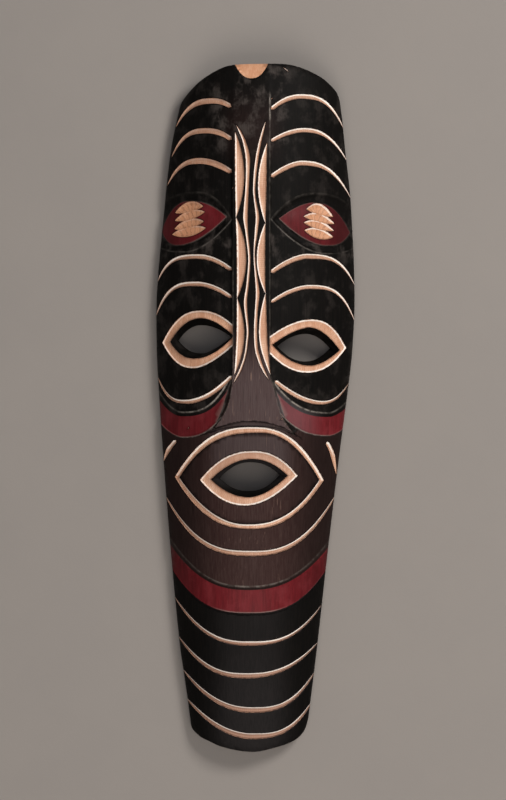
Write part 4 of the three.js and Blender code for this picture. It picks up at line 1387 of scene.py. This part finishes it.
class MASK_OT_carve(bpy.types.Operator):
    """Carve the mask from one piece of wood, and stain and paint it."""

    bl_idname = "mask.carve"
    bl_label = "Carve the mask"

    def execute(self, context):
        shape = carve(context.scene.mask_sizes)
        flat = [e for e in shape.edges if all(abs(v.co.z) < 1e-6 for v in e.verts)]
        rim = [e for e in flat if len({f.material_index for f in e.link_faces}) == 2]
        bmesh.ops.bevel(
            shape, geom=rim, offset=RIM_BEVEL, offset_type="OFFSET", segments=2,
            affect="EDGES", profile=0.5, material=-1, clamp_overlap=True,
        )
        bmesh.ops.recalc_face_normals(shape, faces=shape.faces)
        bmesh.ops.scale(shape, vec=(MM, MM, MM), verts=shape.verts)
        for f in shape.faces:
            f.smooth = True
        for e in shape.edges:
            if e.is_manifold and e.calc_face_angle(0) > CREASE_ANGLE:
                e.smooth = False
        mesh = bpy.data.meshes.new("carved_mask")
        shape.to_mesh(mesh)
        shape.free()
        mask = bpy.data.objects.new("carved_mask", mesh)
        context.scene.collection.objects.link(mask)
        colours = context.scene.mask_colours
        for make in (stained_wood, bare_cut_wood, red_milk_paint, raw_back_wood):
            mesh.materials.append(make(colours))
        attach(mask, "root")
        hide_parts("mask")
        return {"FINISHED"}


class MASK_OT_lay_down(bpy.types.Operator):
    """Set the pale table, the soft lights and the camera that looks straight down."""

    bl_idname = "mask.lay_down"
    bl_label = "Lay the mask down"

    def execute(self, context):
        scene = context.scene
        plane = bmesh.new()
        bmesh.ops.create_grid(plane, x_segments=8, y_segments=8, size=4)
        bmesh.ops.translate(plane, vec=(0, 0, -TABLE_DROP), verts=plane.verts)
        mesh = bpy.data.meshes.new("table_top")
        plane.to_mesh(mesh)
        plane.free()
        table = bpy.data.objects.new("table_top", mesh)
        scene.collection.objects.link(table)
        mesh.materials.append(pale_table_top(scene.mask_colours))
        world = bpy.data.worlds.new("studio")
        world.use_nodes = True
        back = world.node_tree.nodes["Background"]
        back.inputs["Color"].default_value = hex_colour("#d9dbe0")
        back.inputs["Strength"].default_value = 0.2
        scene.world = world
        scene.view_settings.view_transform = "Standard"
        for name, spot, size, power, colour in LAMPS:
            light = bpy.data.lights.new(name, "AREA")
            light.shape = "SQUARE"
            light.size = size
            light.energy = power
            light.color = hex_colour(colour)[:3]
            lamp = bpy.data.objects.new(name, light)
            lamp.location = spot
            lamp.rotation_euler = (-Vector(spot)).to_track_quat("-Z", "Y").to_euler()
            scene.collection.objects.link(lamp)
        camera = bpy.data.cameras.new("camera")
        camera.lens = LENS
        camera.clip_start = 0.05
        camera.clip_end = 20
        eye = bpy.data.objects.new("camera", camera)
        eye.location = EYE
        scene.collection.objects.link(eye)
        scene.camera = eye
        return {"FINISHED"}


class MASK_PT_panel(bpy.types.Panel):
    """The mask's steps, sizes and colours."""

    bl_idname = "MASK_PT_panel"
    bl_label = "Carved face mask"
    bl_space_type = "VIEW_3D"
    bl_region_type = "UI"
    bl_category = "Mask"

    def draw(self, context):
        layout = self.layout
        for group in (context.scene.mask_sizes, context.scene.mask_colours):
            for name in group.__annotations__:
                layout.prop(group, name)
        for step in STEPS:
            layout.operator(step.bl_idname)


STEPS = (MASK_OT_carve, MASK_OT_lay_down)
CLASSES = (MaskSizes, MaskColours, *STEPS, MASK_PT_panel)


def register():
    for cls in CLASSES:
        bpy.utils.register_class(cls)
    bpy.types.Scene.mask_sizes = bpy.props.PointerProperty(type=MaskSizes)
    bpy.types.Scene.mask_colours = bpy.props.PointerProperty(type=MaskColours)


def unregister():
    del bpy.types.Scene.mask_colours
    del bpy.types.Scene.mask_sizes
    for cls in reversed(CLASSES):
        bpy.utils.unregister_class(cls)


def main():
    register()
    bpy.ops.mask.carve()
    bpy.ops.mask.lay_down()


if __name__ == "__main__":
    main()
